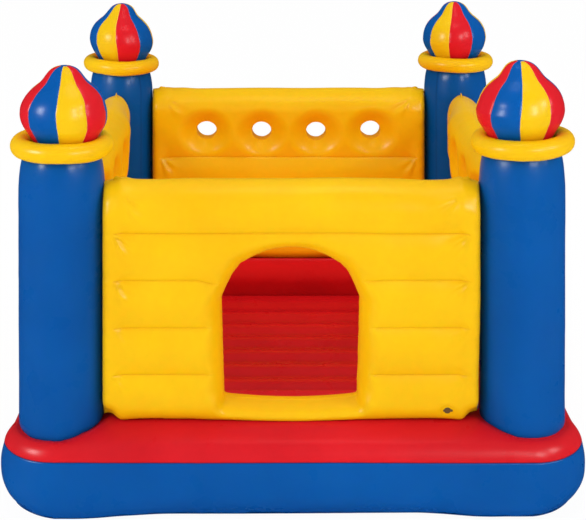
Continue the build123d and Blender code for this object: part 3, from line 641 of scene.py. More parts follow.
for t_i, (where, (cx, cy)) in enumerate(corner_xy.items()):
    for colour, first, mat in (("yellow", 0, DOME_YELLOW), ("red", 1, DOME_RED), ("blue", 2, DOME_BLUE)):
        verts, faces, seam_and_shade_a = [], [], []
        for k in range(first, GORES, 3):
            n_a, n_p = 27, len(dome_curve)
            q = np.linspace(0, 1, n_a)
            q = 0.5 - 0.5 * np.cos(np.pi * q) * (0.55 + 0.45 * np.abs(np.cos(np.pi * q)))
            q = (q - q[0]) / (q[-1] - q[0])
            ge = gore_edges(where)
            az = np.radians(ge[k] + q * (ge[k + 1] - ge[k]))
            A, K = np.meshgrid(az, np.arange(n_p), indexing="ij")
            Q = np.broadcast_to(q[:, None], A.shape)
            r0 = dome_curve[K, 0]
            z0 = dome_curve[K, 1]
            dedge = r0 * np.radians(360 / GORES) * np.minimum(Q, 1 - Q)
            full = smooth(0.0, 0.045, r0)
            r = r0 + full * (0.0012 * np.sin(np.pi * Q) - 0.0022 * np.exp(-dedge / 0.0032))
            # small gathers along each weld, strongest where the curve turns
            side = np.where(Q < 0.5, k, k + 1) % GORES
            gz = noise1(z0 * 1000 + side * 977 + t_i * 5003, 7.5, 110)
            turn = 0.45 + 0.55 * np.exp(-((z0 - 1.135) / 0.05) ** 2)
            r = r - full * 0.0009 * gz * np.exp(-dedge / 0.011) * turn
            p3 = np.stack([np.sin(A) * 0.13 + t_i, np.cos(A) * 0.13, z0], -1)
            r = r + full * 0.0006 * noise(p3, 0.06, 111)
            base = sum(len(v) for v in verts)
            verts.append(dome_place(where, r, np.sin(A), -np.cos(A), z0).reshape(-1, 3))
            faces.append(grid_faces(n_a, n_p, base=base, flip=False))
            seam_and_shade_a.append((np.exp(-(dedge / 0.0011) ** 2)).ravel())
        o = make_mesh(f"{where}_dome_{colour}_visual", np.concatenate(verts), np.concatenate(faces),
                      {"seam_and_shade": np.concatenate(seam_and_shade_a)})
        place(o, mat, f"{colour}_vinyl", ROOT, f"{where}_dome_{colour}_gores")

# tip patches: small discs pressed over the point where the gores meet
verts, faces = [], []
for t_i, (where, (cx, cy)) in enumerate(corner_xy.items()):
    rr = np.array([0.0, 0.004, 0.008, 0.0105, 0.0118, 0.0122, 0.0118])
    hz = np.array([0.0009, 0.0008, 0.0004, -0.0002, -0.0009, -0.0016, -0.0024]) + SETTLE[where]["tip"]
    cx = cx + SETTLE[where]["lean"][-1]
    th = np.linspace(0, 2 * np.pi, 28, endpoint=False)
    P = np.stack([cx + rr[None] * np.cos(th)[:, None] * (1 + 0.03 * noise1(th, 0.7, t_i, 9)[:, None]),
                  cy + rr[None] * np.sin(th)[:, None], np.broadcast_to(hz, (28, 7))], -1)
    verts.append(P.reshape(-1, 3))
    faces.append(grid_faces(28, 7, wrap_u=True, base=t_i * 196))
tips = make_mesh("dome_tips_visual", np.concatenate(verts), np.concatenate(faces), {"seam_and_shade": np.zeros(784)})
place(tips, DOME_BLUE, "blue_vinyl", ROOT, "dome_tip_patches")

# ------------------------------------------------------------------ walls
Z0, Z1 = 0.246, 0.946
U_BODY = 0.5620
T_FULL = 0.0895


def poly_distance(px, py, poly):
    """Distance to a closed polyline and inside test."""
    a = poly
    b = np.roll(poly, -1, axis=0)
    best = np.full(px.shape, 1e9)
    inside = np.zeros(px.shape, bool)
    for (x0, y0), (x1, y1) in zip(a, b):
        dx, dy = x1 - x0, y1 - y0
        L2 = dx * dx + dy * dy
        t = np.clip(((px - x0) * dx + (py - y0) * dy) / max(L2, 1e-12), 0, 1)
        best = np.minimum(best, np.hypot(px - x0 - t * dx, py - y0 - t * dy))
        cross = (y0 > py) != (y1 > py)
        with np.errstate(divide="ignore", invalid="ignore"):
            xi = x0 + (py - y0) / (dy if abs(dy) > 1e-15 else 1e-15) * dx
        inside ^= cross & (px < xi)
    return best, inside


door_left = np.array([(-0.2030, 0.3050), (-0.2062, 0.400), (-0.2090, 0.500), (-0.2112, 0.5930)])
arch_l = catmull([(-0.2112, 0.5950), (-0.1915, 0.6385), (-0.1775, 0.6655), (-0.1510, 0.7010)], 8)
arch_m = catmull([(-0.1510, 0.7010), (-0.0970, 0.7285), (-0.0540, 0.7420), (-0.0050, 0.7475), (0.0470, 0.7435),
                  (0.0970, 0.7265), (0.1430, 0.7010)], 8)
arch_r = catmull([(0.1430, 0.7010), (0.1660, 0.6770), (0.1860, 0.6385), (0.2040, 0.5970)], 8)
door_right = np.array([(0.2042, 0.5950), (0.2020, 0.500), (0.1995, 0.400), (0.1960, 0.3050)])
sill = catmull([(0.1960, 0.3030), (0.1930, 0.2965), (0.1850, 0.2935), (0.1500, 0.2895), (0.0900, 0.2846), (0.0, 0.2820),
                (-0.0900, 0.2846), (-0.1560, 0.2895), (-0.1920, 0.2935), (-0.2000, 0.2965), (-0.2030, 0.3030)], 6)
door = np.vstack([door_left, arch_l[1:], arch_m[1:], arch_r[1:], door_right[1:], sill[1:-1]])
door[:, 0] = door[:, 0] * 1.006 - 0.0003
door = resample(np.vstack([door, door[:1]]), step=0.0045)[:-1]
WINDOWS = [-0.3405, -0.1135, 0.1135, 0.3405]
WIN_Z, WIN_R = 0.7705, 0.0400


def window_loop(k, wall_seed, grow=0.0, n=60):
    th = np.linspace(0, 2 * np.pi, n, endpoint=False)
    r = WIN_R + grow + 0.0012 * noise1(th, 2 * np.pi / 5, 200 + k + wall_seed * 7, 5)
    sx, sy = 1.02, 0.985
    tilt = 0.25 * (hash01(k, wall_seed, 1, 5) - 0.5)
    x, y = sx * r * np.cos(th), sy * r * np.sin(th)
    return np.stack([WINDOWS[k] + x * math.cos(tilt) - y * math.sin(tilt),
                     WIN_Z + x * math.sin(tilt) + y * math.cos(tilt)], -1)


def offset_loop(poly, d):
    a = np.roll(poly, 1, axis=0)
    b = np.roll(poly, -1, axis=0)
    t = b - a
    t /= np.linalg.norm(t, axis=1)[:, None]
    nrm = np.stack([t[:, 1], -t[:, 0]], -1)
    area = np.sum(poly[:, 0] * np.roll(poly[:, 1], -1) - np.roll(poly[:, 0], -1) * poly[:, 1])
    if area < 0:
        nrm = -nrm
    return poly + nrm * d


class Wall:
    """One lobed wall. u runs along it (to the right seen from outside), w is
    out from its middle plane."""

    def __init__(self, name, azimuth, creases, has_door, seed):
        self.name, self.seed, self.creases, self.has_door = name, seed, creases, has_door
        a = math.radians(azimuth)
        self.out = np.array([math.sin(a), -math.cos(a)])
        self.along = np.array([math.cos(a), math.sin(a)])
        self.holes = [door] if has_door else [window_loop(k, seed) for k in range(4)]
        self.rim = 0.010 if has_door else 0.031
        self.roll = 0.058 if has_door else 0.078
        self.side = azimuth in (90, 270)
        if azimuth == 180:   # the rear windows are not quite in line
            self.holes = [h + np.array(o_) for h, o_ in zip(self.holes, ((0.0022, 0.0018), (0.0, -0.0030), (-0.0028, -0.0030), (-0.0028, 0.0)))]

    def world(self, u, w, z):
        xy = self.out * (C + np.asarray(w))[..., None] + self.along * np.asarray(u)[..., None]
        return np.concatenate([xy, np.asarray(z)[..., None]], -1)

    def shift(self, u, v):
        """Real height of nominal height v."""
        n = noise1(u + self.seed * 5.3, 0.17, 300 + self.seed) * 0.0022
        au = np.abs(u)
        top = (-0.0045 * np.exp(-((au - 0.405) / 0.075) ** 2) + 0.0065 * np.exp(-((au - 0.506) / 0.020) ** 2)
               - 0.0045 * smooth(0.530, 0.562, au) + n)
        if not self.has_door:
            top = top * (0.1 if self.side else 0.5) - 0.0115 + (0 if self.side else 0.004) * np.exp(-((au - 0.44) / 0.05) ** 2)
        return v + top * smooth(0.72, 0.93, v)

    def foot(self, u):
        """Half thickness where the wall meets the ring."""
        au = np.abs(u)
        return (0.046 + 0.016 * np.exp(-(au / 0.16) ** 2) - 0.006 * np.exp(-((au - 0.33) / 0.09) ** 2)
                + 0.009 * smooth(0.44, 0.51, au))

    def crease_z(self, zc, u):
        bend = 0.0014 * noise1(u + zc * 31 + self.seed, 0.12, 310)
        if self.has_door and 0.6 < zc < 0.7:
            bend = bend - 0.010 * smooth(-0.285, -0.235, u) * (u < 0) - 0.002 * smooth(0.285, 0.235, u) * (u > 0)
        return zc + bend

    def half(self, u, v, side):
        """Half thickness at u, nominal height v, and the crease mark: a weld line that also paints shade into the
        crease.
        """
        au = np.abs(u)
        # distance to holes
        d_hole = np.full(u.shape, 1.0)
        for h in self.holes:
            d, _ = poly_distance(u, v, h)
            d_hole = np.minimum(d_hole, d)
        # lobes
        dip = np.zeros_like(u)
        line = np.zeros_like(u)
        zc = [self.crease_z(c, u) for c in self.creases]
        bounds = [np.full_like(u, Z0)] + zc + [np.full_like(u, Z1)]
        for i in range(len(bounds) - 1):
            lo_, hi_ = bounds[i], bounds[i + 1]
            s_ = (v - (lo_ + hi_) / 2) / ((hi_ - lo_) / 2)
            inside = (v >= lo_) & (v < hi_)
            d = np.abs(s_) ** 2.2
            if i == 0:
                d = np.where(s_ < 0, 0, d)
            if i == len(bounds) - 2:
                d = np.where(s_ > 0, 0, np.abs(s_) ** 3.0)
            dip = np.where(inside, d, dip)
        # crease lines: a shallow groove below, and the mark returned for the colour, which paints shade into each
        # crease
        for c in zc:
            line = np.maximum(line, np.exp(-((v - c) / 0.0021) ** 2))
        fade = smooth(0.531, 0.492, au)
        if self.has_door:
            fade = fade * smooth(0.024, 0.056, d_hole)
        dip_mm = (0.0150 if self.has_door else 0.0205) * dip * fade + 0.0018 * line * smooth(0.531, 0.520, au) * (smooth(0.020, 0.032, d_hole) if self.has_door else 1)
        t0 = T_FULL - dip_mm
        # puckers fanning out of each crease's ends
        p3 = np.stack([u, v, np.full_like(u, self.seed * 2.0 + side)], -1)
        for j, c in enumerate(self.creases):
            ends = [-0.524, 0.524]
            if self.has_door and c < 0.72:
                ends += [-0.236, 0.230]
            for e_i, ex in enumerate(ends):
                inward = 1.0 if ex < 0 else -1.0
                if abs(ex) < 0.3:
                    inward = -inward
                rho = np.hypot(u - ex, v - c)
                phi = np.arctan2(v - c, (u - ex) * inward)
                wob_ = 0.5 * (hash01(j, e_i, side + 2, self.seed) - 0.5)
                outer_ = abs(ex) > 0.3
                t0 = t0 + ((0.0014 if outer_ else 0.0010) * np.cos(6.3 * phi + wob_) * np.exp(-rho / (0.034 if outer_ else 0.014))
                           * (1 - np.exp(-(rho / 0.011) ** 2)) * smooth(-0.4, 0.5, np.cos(phi)))
                if outer_:   # stiff ridges fanning down and inwards from the crease's end
                    reach = (rho / 0.028) * np.exp(1 - rho / 0.028) * smooth(0.115, 0.055, rho)
                    size_ = ((0.9 + 0.5 * (hash01(j, e_i, side, self.seed + 9) - 0.5))
                             * (1.0 if j >= len(self.creases) - 2 else 0.65 if j == len(self.creases) - 3 else 0.45))
                    for deg, high, wide_ in ((-24, 0.0052, 11.0), (-60, 0.0058, 12.0), (34, 0.0016, 13.0)):
                        deg = deg + 8 * (hash01(j, e_i, deg + 90, self.seed) - 0.5)
                        off_ = np.degrees(phi) - deg
                        t0 = t0 + size_ * high * reach * (np.exp(-(off_ / wide_) ** 2) - 0.40 * np.exp(-((off_ - 19) / 9) ** 2)
                                                          - 0.40 * np.exp(-((off_ + 19) / 9) ** 2))
        # upper corner of each end: a broad soft crumple
        for ex in (-0.500, 0.500):
            inward = 1.0 if ex < 0 else -1.0
            rho = np.hypot(u - ex, v - 0.915)
            phi = np.arctan2(v - 0.915, (u - ex) * inward)
            t0 = t0 + 0.0014 * np.cos(4.2 * phi + 0.4) * np.exp(-rho / 0.045) * (1 - np.exp(-(rho / 0.02) ** 2))
            reach = (rho / 0.034) * np.exp(1 - rho / 0.034) * smooth(0.13, 0.07, rho)
            for deg, high, wide_ in ((-14, 0.0048, 11.0), (-52, 0.0050, 13.0)):
                off_ = np.degrees(phi) - deg
                t0 = t0 + high * reach * (np.exp(-(off_ / wide_) ** 2) - 0.35 * np.exp(-((off_ - 20) / 10) ** 2)
                                          - 0.35 * np.exp(-((off_ + 20) / 10) ** 2))
        t0 = t0 + 0.0012 * noise(p3, (0.16, 0.09, 1), 320) + 0.0005 * noise(p3, (0.05, 0.04, 1), 321)
        # rounding to the ends, top and foot
        if self.side:   # the side walls' inner face thins out towards the towers
            thin = smooth(0.26, 0.48, au) * (0.40 if side == 1 else 0.10)
            t0 = t0 * (1 - thin) * (1 - (0.45 if side == 1 else 0.1) * smooth(0.72, 0.62, v) * smooth(0.34, 0.50, au))
        q = np.clip((au - 0.470) / (U_BODY - 0.470), 0, 1)
        end = np.sqrt(np.clip(1 - q ** 12, 0, 1))
        gather = noise1(v + self.seed, 0.013, 330 + side + (u > 0) * 3) * 0.6 + noise1(v + self.seed, 0.031, 340 + (u > 0)) * 0.6
        end = end * (1 - 0.045 * np.clip(gather, -0.4, 1) * smooth(0.520, 0.558, au))
        qt = np.clip((v - (Z1 - 0.088)) / 0.088, 0, 1)
        top = np.sqrt(np.clip(1 - qt ** 2.0, 0, 1))
        gt = noise1(u + self.seed * 3, 0.022, 350) * 0.5 + noise1(u, 0.060, 351 + self.seed) * 0.5
        top = top * (1 - 0.03 * gt * smooth(Z1 - 0.03, Z1, v))
        tb = self.foot(u)
        qb = np.clip((v - Z0) / 0.062, 0, 1)
        body = t0 * end * top
        w = tb * end + (body - tb * end) * np.sqrt(np.clip(1 - (1 - qb) ** 2, 0, 1))
        # funnel into the holes
        qh = np.clip(d_hole / self.roll, 0, 1)
        if self.has_door:
            fun = np.clip(1 - (1 - qh) ** 1.8, 0, 1) ** 0.62
            sill_ = np.sqrt(np.clip(1 - (1 - np.clip(d_hole / 0.036, 0, 1)) ** 2, 0, 1))
            fun = fun + (sill_ - fun) * smooth(0.345, 0.300, v)
            if side == 1:   # the sill is thinner inside
                under = smooth(0.250, 0.190, au) * smooth(0.345, 0.290, v)
                w = w * (1 - under) + np.minimum(w, 0.050) * under
        else:
            fun = np.sin(np.pi / 2 * qh) ** 1.1
        w = self.rim + (w - self.rim) * fun
        # the lower corners pull back from the ring
        w = w * (1 - 0.48 * smooth(0.500, 0.556, au) * smooth(0.315, 0.252, v))
        if self.has_door:
            # gathers round the arch and darts at the lower corners
            for k_, (kx, kz, sx) in enumerate(((-0.203, 0.300, -1), (0.196, 0.300, 1))):
                dx, dz = (u - kx) * sx, v - kz
                along_ = (dx * 0.45 - dz * 0.89)
                across = (dx * 0.89 + dz * 0.45)
                w = w - 0.0040 * np.exp(-(across / 0.0030) ** 2) * smooth(-0.002, 0.006, along_) * smooth(0.034, 0.012, along_)
        else:
            for kx in WINDOWS:
                th = np.arctan2(v - WIN_Z, u - kx)
                rho = np.hypot(v - WIN_Z, u - kx) - WIN_R
                g_ = noise1(th + np.pi, 2 * np.pi / 19, 360 + int(kx * 100) + side, 19)
                w = w + 0.0022 * g_ * np.exp(-np.abs(rho) / 0.016)
        return np.maximum(w, 0.0), line * fade

    def domain(self):
        """Triangulated flat outline of a sheet with its holes."""
        us = np.concatenate([np.linspace(-0.38, 0.38, 112), *[s_ * np.linspace(0.3853, 0.476, 19) for s_ in (-1, 1)],
                             *[s_ * np.array([0.483, 0.490, 0.497, 0.504, 0.511, 0.5175, 0.5235, 0.529, 0.534, 0.5385, 0.5425,
                                              0.546, 0.549, 0.5517, 0.554, 0.556, 0.5577, 0.5591, 0.5602, 0.561, 0.5616,
                                              U_BODY]) for s_ in (-1, 1)]])
        vs = [Z0, Z0 + 0.0008, Z0 + 0.003, Z0 + 0.0065, Z0 + 0.011, Z0 + 0.017, Z0 + 0.024]
        vs += list(np.arange(Z0 + 0.031, Z1 - 0.030, 0.0056 if self.has_door else 0.0068))
        vs += [Z1 - 0.026, Z1 - 0.021, Z1 - 0.016, Z1 - 0.0115, Z1 - 0.0078, Z1 - 0.0048, Z1 - 0.0026, Z1 - 0.0011, Z1 - 0.0003, Z1]
        vs = np.array(vs)
        for c in self.creases:
            vs = vs[np.abs(vs - c) > 0.0052]
            vs = np.concatenate([vs, c + np.array([-0.0035, -0.0014, 0, 0.0014, 0.0035])])
        us, vs = np.sort(us), np.sort(vs)
        U, V = np.meshgrid(us, vs, indexing="ij")
        u, v = U.ravel(), V.ravel()
        # the crease rows bend with the creases
        for c in self.creases:
            v = v + (self.crease_z(c, u) - c) * np.clip(1 - np.abs(v - c) / 0.03, 0, 1)
        ok = np.ones(len(u), bool)
        pts, edges_ = [], []
        offsets = np.array([0, 0.0006, 0.0018, 0.0036, 0.006, 0.009, 0.0128, 0.0172, 0.0222])
        for h in self.holes:
            d, ins = poly_distance(u, v, h)
            ok &= ~ins & (d > offsets[-1] + 0.0035)
        if self.has_door:
            offs = offsets
        pts.append(np.stack([u[ok], v[ok]], -1))
        base = int(ok.sum())
        for h in self.holes:
            for j, d in enumerate(offsets):
                lp = offset_loop(h, d)
                # drop points an inward-turning corner has folded back
                dd, ins = poly_distance(lp[:, 0], lp[:, 1], h)
                good = (dd > d * 0.97) & (lp[:, 1] > Z0 + 0.001) & (~ins | (j == 0))
                if j == 0:
                    good[:] = True
                lp = lp[good]
                n_ = len(lp)
                if j == 0:
                    edges_ += [(base + i, base + (i + 1) % n_) for i in range(n_)]
                pts.append(lp)
                base += n_
        pts = np.concatenate(pts)
        vo, _, fo, *_ = geometry.delaunay_2d_cdt([Vector(p) for p in pts], edges_, [], 0, 1e-7)
        vo = np.array([tuple(p) for p in vo])
        f = np.array([t for t in fo if len(t) == 3])
        cen = vo[f].mean(axis=1)
        bad = np.zeros(len(f), bool)
        for h in self.holes:
            _, ins = poly_distance(cen[:, 0], cen[:, 1], h)
            bad |= ins
        a_, b_, c_ = vo[f[:, 0]], vo[f[:, 1]], vo[f[:, 2]]
        area = (b_[:, 0] - a_[:, 0]) * (c_[:, 1] - a_[:, 1]) - (b_[:, 1] - a_[:, 1]) * (c_[:, 0] - a_[:, 0])
        bad |= np.abs(area) < 1e-12
        f = f[~bad]
        f[area[~bad] < 0] = f[area[~bad] < 0][:, ::-1]
        return vo, f

    def build(self, valve=None):
        vo, f = self.domain()
        u, v = vo[:, 0], vo[:, 1]
        verts, faces, seam_and_shade_a = [], [], []
        for side, sign in ((0, 1.0), (1, -1.0)):
            w, line = self.half(u, v, side)
            if valve and side == 0:
                vu, vz, vw, slope = valve
                r = np.hypot(u - vu, v - vz)
                flat = vw + slope * (v - vz) - 0.0004
                k_ = smooth(0.034, 0.019, r)
                w = w * (1 - k_) + flat * k_
            z = self.shift(u, v)
            # the bottom edge lies on the ring
            uw = u
            if self.has_door:
                far = smooth(0.40, 0.56, np.abs(u))
                uw = u + far * np.where(u < 0, -0.0040, 0.0012 - 0.0050 * smooth(0.62, 0.36, v))
            p = self.world(uw, w * sign, z)
            zb = top_height(p[:, 0], p[:, 1]) - 0.0012
            low = smooth(Z0 + 0.05, Z0, v)
            p[:, 2] = p[:, 2] + low * (zb - Z0 + 0.012 * smooth(0.500, 0.535, np.abs(u)) + 0.0025 * smooth(0.3, 0.45, np.abs(u)))
            p[:, 2] = np.maximum(p[:, 2], 0.2)
            verts.append(p)
            faces.append((f if sign > 0 else f[:, ::-1]) + side * len(u))
            # the crease mark darkens the yellow along each crease: painted shade
            seam_and_shade_a.append(line * 0.5)
        # join the two sheets: they share the edge, so weld coincident points
        o = make_mesh(f"{self.name}_visual", np.concatenate(verts), np.concatenate(faces), {"seam_and_shade": np.concatenate(seam_and_shade_a)})
        import bmesh
        bm = bmesh.new()
        bm.from_mesh(o.data)
        bmesh.ops.remove_doubles(bm, verts=[v_ for v_ in bm.verts], dist=0.00002)
        bm.to_mesh(o.data)
        bm.free()
        o.data.polygons.foreach_set("use_smooth", np.ones(len(o.data.polygons), bool))
        return o

    def sleeves(self):
        """Narrow strips welded round each hole between the two sheets."""
        verts, faces, seam_and_shade_a, base = [], [], [], 0
        for k, h in enumerate(self.holes):
            n_, m_ = len(h), 9
            w0, _ = self.half(h[:, 0], h[:, 1], 0)
            w1, _ = self.half(h[:, 0], h[:, 1], 1)
            t = np.linspace(0, 1, m_)
            W = w0[:, None] * (1 - t) - w1[:, None] * t
            ang = np.arange(n_)
            ruff = (noise1(ang, n_ / round(n_ / 2.6), 400 + k + self.seed, round(n_ / 2.6)) * 0.0011
                    + noise1(ang, n_ / round(n_ / 7.0), 410 + k, round(n_ / 7.0)) * 0.0006)
            if self.has_door:
                ruff = ruff * 0.45
            inn = (-0.0016 * np.sin(np.pi * t))[None] - ruff[:, None] * np.sin(np.pi * t)[None] ** 0.5
            pts = []
            for j in range(m_):
                a_ = np.roll(h, 1, axis=0)
                b_ = np.roll(h, -1, axis=0)
                tg = b_ - a_
                tg /= np.linalg.norm(tg, axis=1)[:, None]
                nrm = np.stack([tg[:, 1], -tg[:, 0]], -1)
                area = np.sum(h[:, 0] * np.roll(h[:, 1], -1) - np.roll(h[:, 0], -1) * h[:, 1])
                if area < 0:
                    nrm = -nrm
                q = h + nrm * inn[:, j][:, None]
                z = self.shift(q[:, 0], q[:, 1])
                pp = self.world(q[:, 0], W[:, j], z)
                low = smooth(Z0 + 0.05, Z0, q[:, 1])
                zb = top_height(pp[:, 0], pp[:, 1]) - 0.0012
                pp[:, 2] += low * (zb - Z0)
                pts.append(pp)
            P = np.stack(pts, axis=1)
            verts.append(P.reshape(-1, 3))
            faces.append(grid_faces(n_, m_, wrap_u=True, base=base))
            sm = np.zeros((n_, m_))
            sm[:, 0] = sm[:, -1] = 0.8
            seam_and_shade_a.append(sm.ravel())
            base += n_ * m_
        return np.concatenate(verts), np.concatenate(faces), np.concatenate(seam_and_shade_a)

    def flanges(self):
        """Weld flange down each end, scalloped, with a tab at the top."""
        verts, faces, base = [], [], 0
        for s_ in (-1, 1):
            v = np.linspace(0.262, 0.9385, 120)
            wav = noise1(v + s_ * 3 + self.seed, 0.016, 420) * 0.0011 + noise1(v + s_ + self.seed, 0.05, 421) * 0.0010
            outer = 0.5636 + np.minimum(wav, 0.0006)
            cols = []
            for u_, w_ in ((0.5560, 0.0012), (outer, 0.0009), (outer, -0.0009), (0.5560, -0.0012)):
                uu = np.broadcast_to(np.asarray(u_, float), v.shape) * s_
                bend = 0.0012 * noise1(v + self.seed * 2 + s_, 0.035, 422)
                cols.append(self.world(uu, w_ + bend * (np.abs(uu) > 0.555), self.shift(uu, v)))
            P = np.stack(cols, axis=1)
            verts.append(P.reshape(-1, 3))
            faces.append(grid_faces(len(v), 4, wrap_v=True, base=base, flip=s_ < 0))
            n_ = len(v)
            caps = [[base, base + 1, base + 2, base + 3], [base + 4 * (n_ - 1) + i for i in (3, 2, 1, 0)]]
            faces.append(np.array(caps))
            base += n_ * 4
            # tab: rounded flap of doubled sheet standing on the corner
            uc, vc = 0.5225 * s_, 0.9415
            outline = np.array([(-0.015, -0.010), (0.015, -0.012), (0.0165, 0.003), (0.0125, 0.0105), (0.004, 0.0125),
                                (-0.008, 0.0100), (-0.0155, 0.002)])
            outline = resample(np.vstack([outline, outline[:1]]), 31)[:-1]
            lay = []
            for w_ in (0.0010, -0.0010):
                uu = uc + outline[:, 0] * s_
                drop = 0.0 if self.has_door else 0.004 if self.side else 0.0115
                vv = vc - drop + outline[:, 1] + 0.0012 * noise1(np.arange(30), 3, 430 + self.seed + s_)
                bend = 0.030 * np.clip(outline[:, 1], 0, 1) * s_
                lay.append(self.world(uu, w_ + bend, vv))
            verts.append(np.concatenate(lay))
            sidef = [[base + i, base + (i + 1) % 30, base + 30 + (i + 1) % 30, base + 30 + i] for i in range(30)]
            faces.append(sidef)
            faces.append([[base + i for i in range(30)][::-1], [base + 30 + i for i in range(30)]])
            base += 60
        flat = []
        for f in faces:
            flat += f.tolist() if isinstance(f, np.ndarray) else f
        return np.concatenate(verts), flat


walls = [Wall("front_wall", 0, [0.389, 0.528, 0.667, 0.806], True, 1),
         Wall("rear_wall", 180, [0.389, 0.528, 0.667], False, 2),
         Wall("left_wall", 270, [0.389, 0.528, 0.667], False, 3),
         Wall("right_wall", 90, [0.389, 0.528, 0.667], False, 4)]
sl_v, sl_f, sl_s, sl_base = [], [], [], 0
fl_v, fl_f, fl_base = [], [], 0
for wall in walls:
    valve = (0.457, 0.290, 0.77803582 - C, 0.29987484 / 0.95397855) if wall.has_door else None
    o = wall.build(valve)
    if valve:
        punch(o, (0.457, -0.77803582, 0.290), (0, -0.95397855, -0.29987484), 0.0135)
    place(o, YELLOW, "yellow_vinyl", ROOT, f"{wall.name}_skin")
    sv, sf, ss = wall.sleeves()
    if wall.has_door:
        rim = make_mesh("door_rim_visual", sv, sf, {"seam_and_shade": ss})
        place(rim, YELLOW, "yellow_vinyl", ROOT, "door_sleeve")
    else:
        sl_v.append(sv)
        sl_f.append(sf + sl_base)
        sl_s.append(ss)
        sl_base += len(sv)
    fv, ff = wall.flanges()
    fl_v.append(fv)
    fl_f += [[i + fl_base for i in f] for f in ff]
    fl_base += len(fv)
win = make_mesh("window_rims_visual", np.concatenate(sl_v), np.concatenate(sl_f), {"seam_and_shade": np.concatenate(sl_s)})
place(win, YELLOW, "yellow_vinyl", ROOT, "window_sleeves")
flg = make_mesh("wall_end_flanges_visual", np.concatenate(fl_v), fl_f, {"seam_and_shade": np.zeros(fl_base)})
place(flg, YELLOW, "yellow_vinyl", ROOT, "wall_end_panels")

# blue weld strips on the towers behind each flange
verts, faces, base = [], [], 0
for wall in walls:
    for s_ in (-1, 1):
        v = np.linspace(0.256, 0.930, 90)
        wav = noise1(v + s_ * 7 + wall.seed, 0.03, 440) * 0.0009
        cols = [wall.world(s_ * (0.5545 + wav), np.full(90, 0.0032), v), wall.world(np.full(90, s_ * 0.5625), np.full(90, 0.0040), v),
                wall.world(np.full(90, s_ * 0.5625), np.full(90, 0.0022), v), wall.world(s_ * (0.5545 + wav), np.full(90, 0.0020), v)]
        verts.append(np.stack(cols, axis=1).reshape(-1, 3))
        faces += grid_faces(90, 4, wrap_v=True, base=base, flip=s_ < 0).tolist()
        faces += [[base, base + 1, base + 2, base + 3], [base + 356 + i for i in (3, 2, 1, 0)]]
        base += 360
strips = make_mesh("wall_tie_strips_visual", np.concatenate(verts), faces, {"seam_and_shade": np.zeros(base)})
place(strips, BLUE, "blue_vinyl", ROOT, "wall_tie_strips")

# the tension webs inside the walls, drawn in with the skins towards their ends
for wall in walls:
    o = link(f"{wall.name}_webs_visual", nodes[f"{wall.name}_webs"].data.copy())
    co = np.empty(len(o.data.vertices) * 3)
    o.data.vertices.foreach_get("co", co)
    co = co.reshape(-1, 3)
    u, w = co[:, :2] @ wall.along, co[:, :2] @ wall.out - C
    au = np.abs(u)
    au = np.where(au > 0.44, 0.44 + (au - 0.44) * 0.62, au)
    w = w * 0.72 * (1 - 0.6 * smooth(0.36, 0.51, au))
    co[:, :2] = wall.out * (C + w)[:, None] + wall.along * (np.sign(u) * au)[:, None]
    o.data.vertices.foreach_set("co", co.ravel())
    o.data.update()
    place(o, INNER, "web_vinyl", ROOT, f"{wall.name}_webs")

# ------------------------------------------------------------------ carried-over CAD nodes
for name, node in nodes.items():
    if node.hide_render:
        continue
    if name.endswith("_flap"):
        assign(node, FLAP)
    elif name.endswith("_flange"):   # the welded collar round a valve takes its sheet's colour
        assign(node, YELLOW if name.startswith("wall") else BLUE if name.startswith("base") else RED)
    elif name.endswith("_cap"):
        assign(node, CLEAR if name.startswith("floor") else VALVE_DARK)
    elif "_valve_" in name:
        assign(node, CLEAR)
    elif name.endswith("_webs"):
        assign(node, INNER)
    else:
        assign(node, BLUE)

# ------------------------------------------------------------------ stage
floor_mat = bpy.data.materials.new("stage_floor")
floor_mat.use_nodes = True
nt = floor_mat.node_tree
bs = nt.nodes["Principled BSDF"]
bs.inputs["Roughness"].default_value = 0.6
bs.inputs["Specular IOR Level"].default_value = 0.2
bs.inputs["Base Color"].default_value = (0.93, 0.93, 0.94, 1)
bs.inputs["Emission Color"].default_value = (1, 1, 1, 1)
bs.inputs["Emission Strength"].default_value = 0.22
# seen directly it is the white sweep of a cut-out product picture, with only a
# trace of shadow; it lights the castle as a white floor does
seen = nt.nodes.new("ShaderNodeLightPath")
white = nt.nodes.new("ShaderNodeEmission")
white.inputs["Strength"].default_value = 1.0
blend_ = nt.nodes.new("ShaderNodeMixShader")
share = nt.nodes.new("ShaderNodeMath")
share.operation = "MULTIPLY"
share.inputs[1].default_value = 0.94
nt.links.new(seen.outputs["Is Camera Ray"], share.inputs[0])
nt.links.new(share.outputs[0], blend_.inputs[0])
nt.links.new(bs.outputs[0], blend_.inputs[1])
nt.links.new(white.outputs[0], blend_.inputs[2])
nt.links.new(blend_.outputs[0], nt.nodes["Material Output"].inputs["Surface"])
g = [(-14, -14, 0), (14, -14, 0), (14, 14, 0), (-14, 14, 0)]
m = bpy.data.meshes.new("stage_floor")
m.from_pydata(g, [], [(0, 1, 2, 3)])
st = link("stage_floor", m)
st.location.z = -0.0002
assign(st, floor_mat)
st.visible_glossy = False

world = bpy.data.worlds.new("soft_studio")
bpy.context.scene.world = world
world.use_nodes = True
wn = world.node_tree
bg = wn.nodes["Background"]
bg.inputs["Color"].default_value = (1.0, 1.0, 1.0, 1)
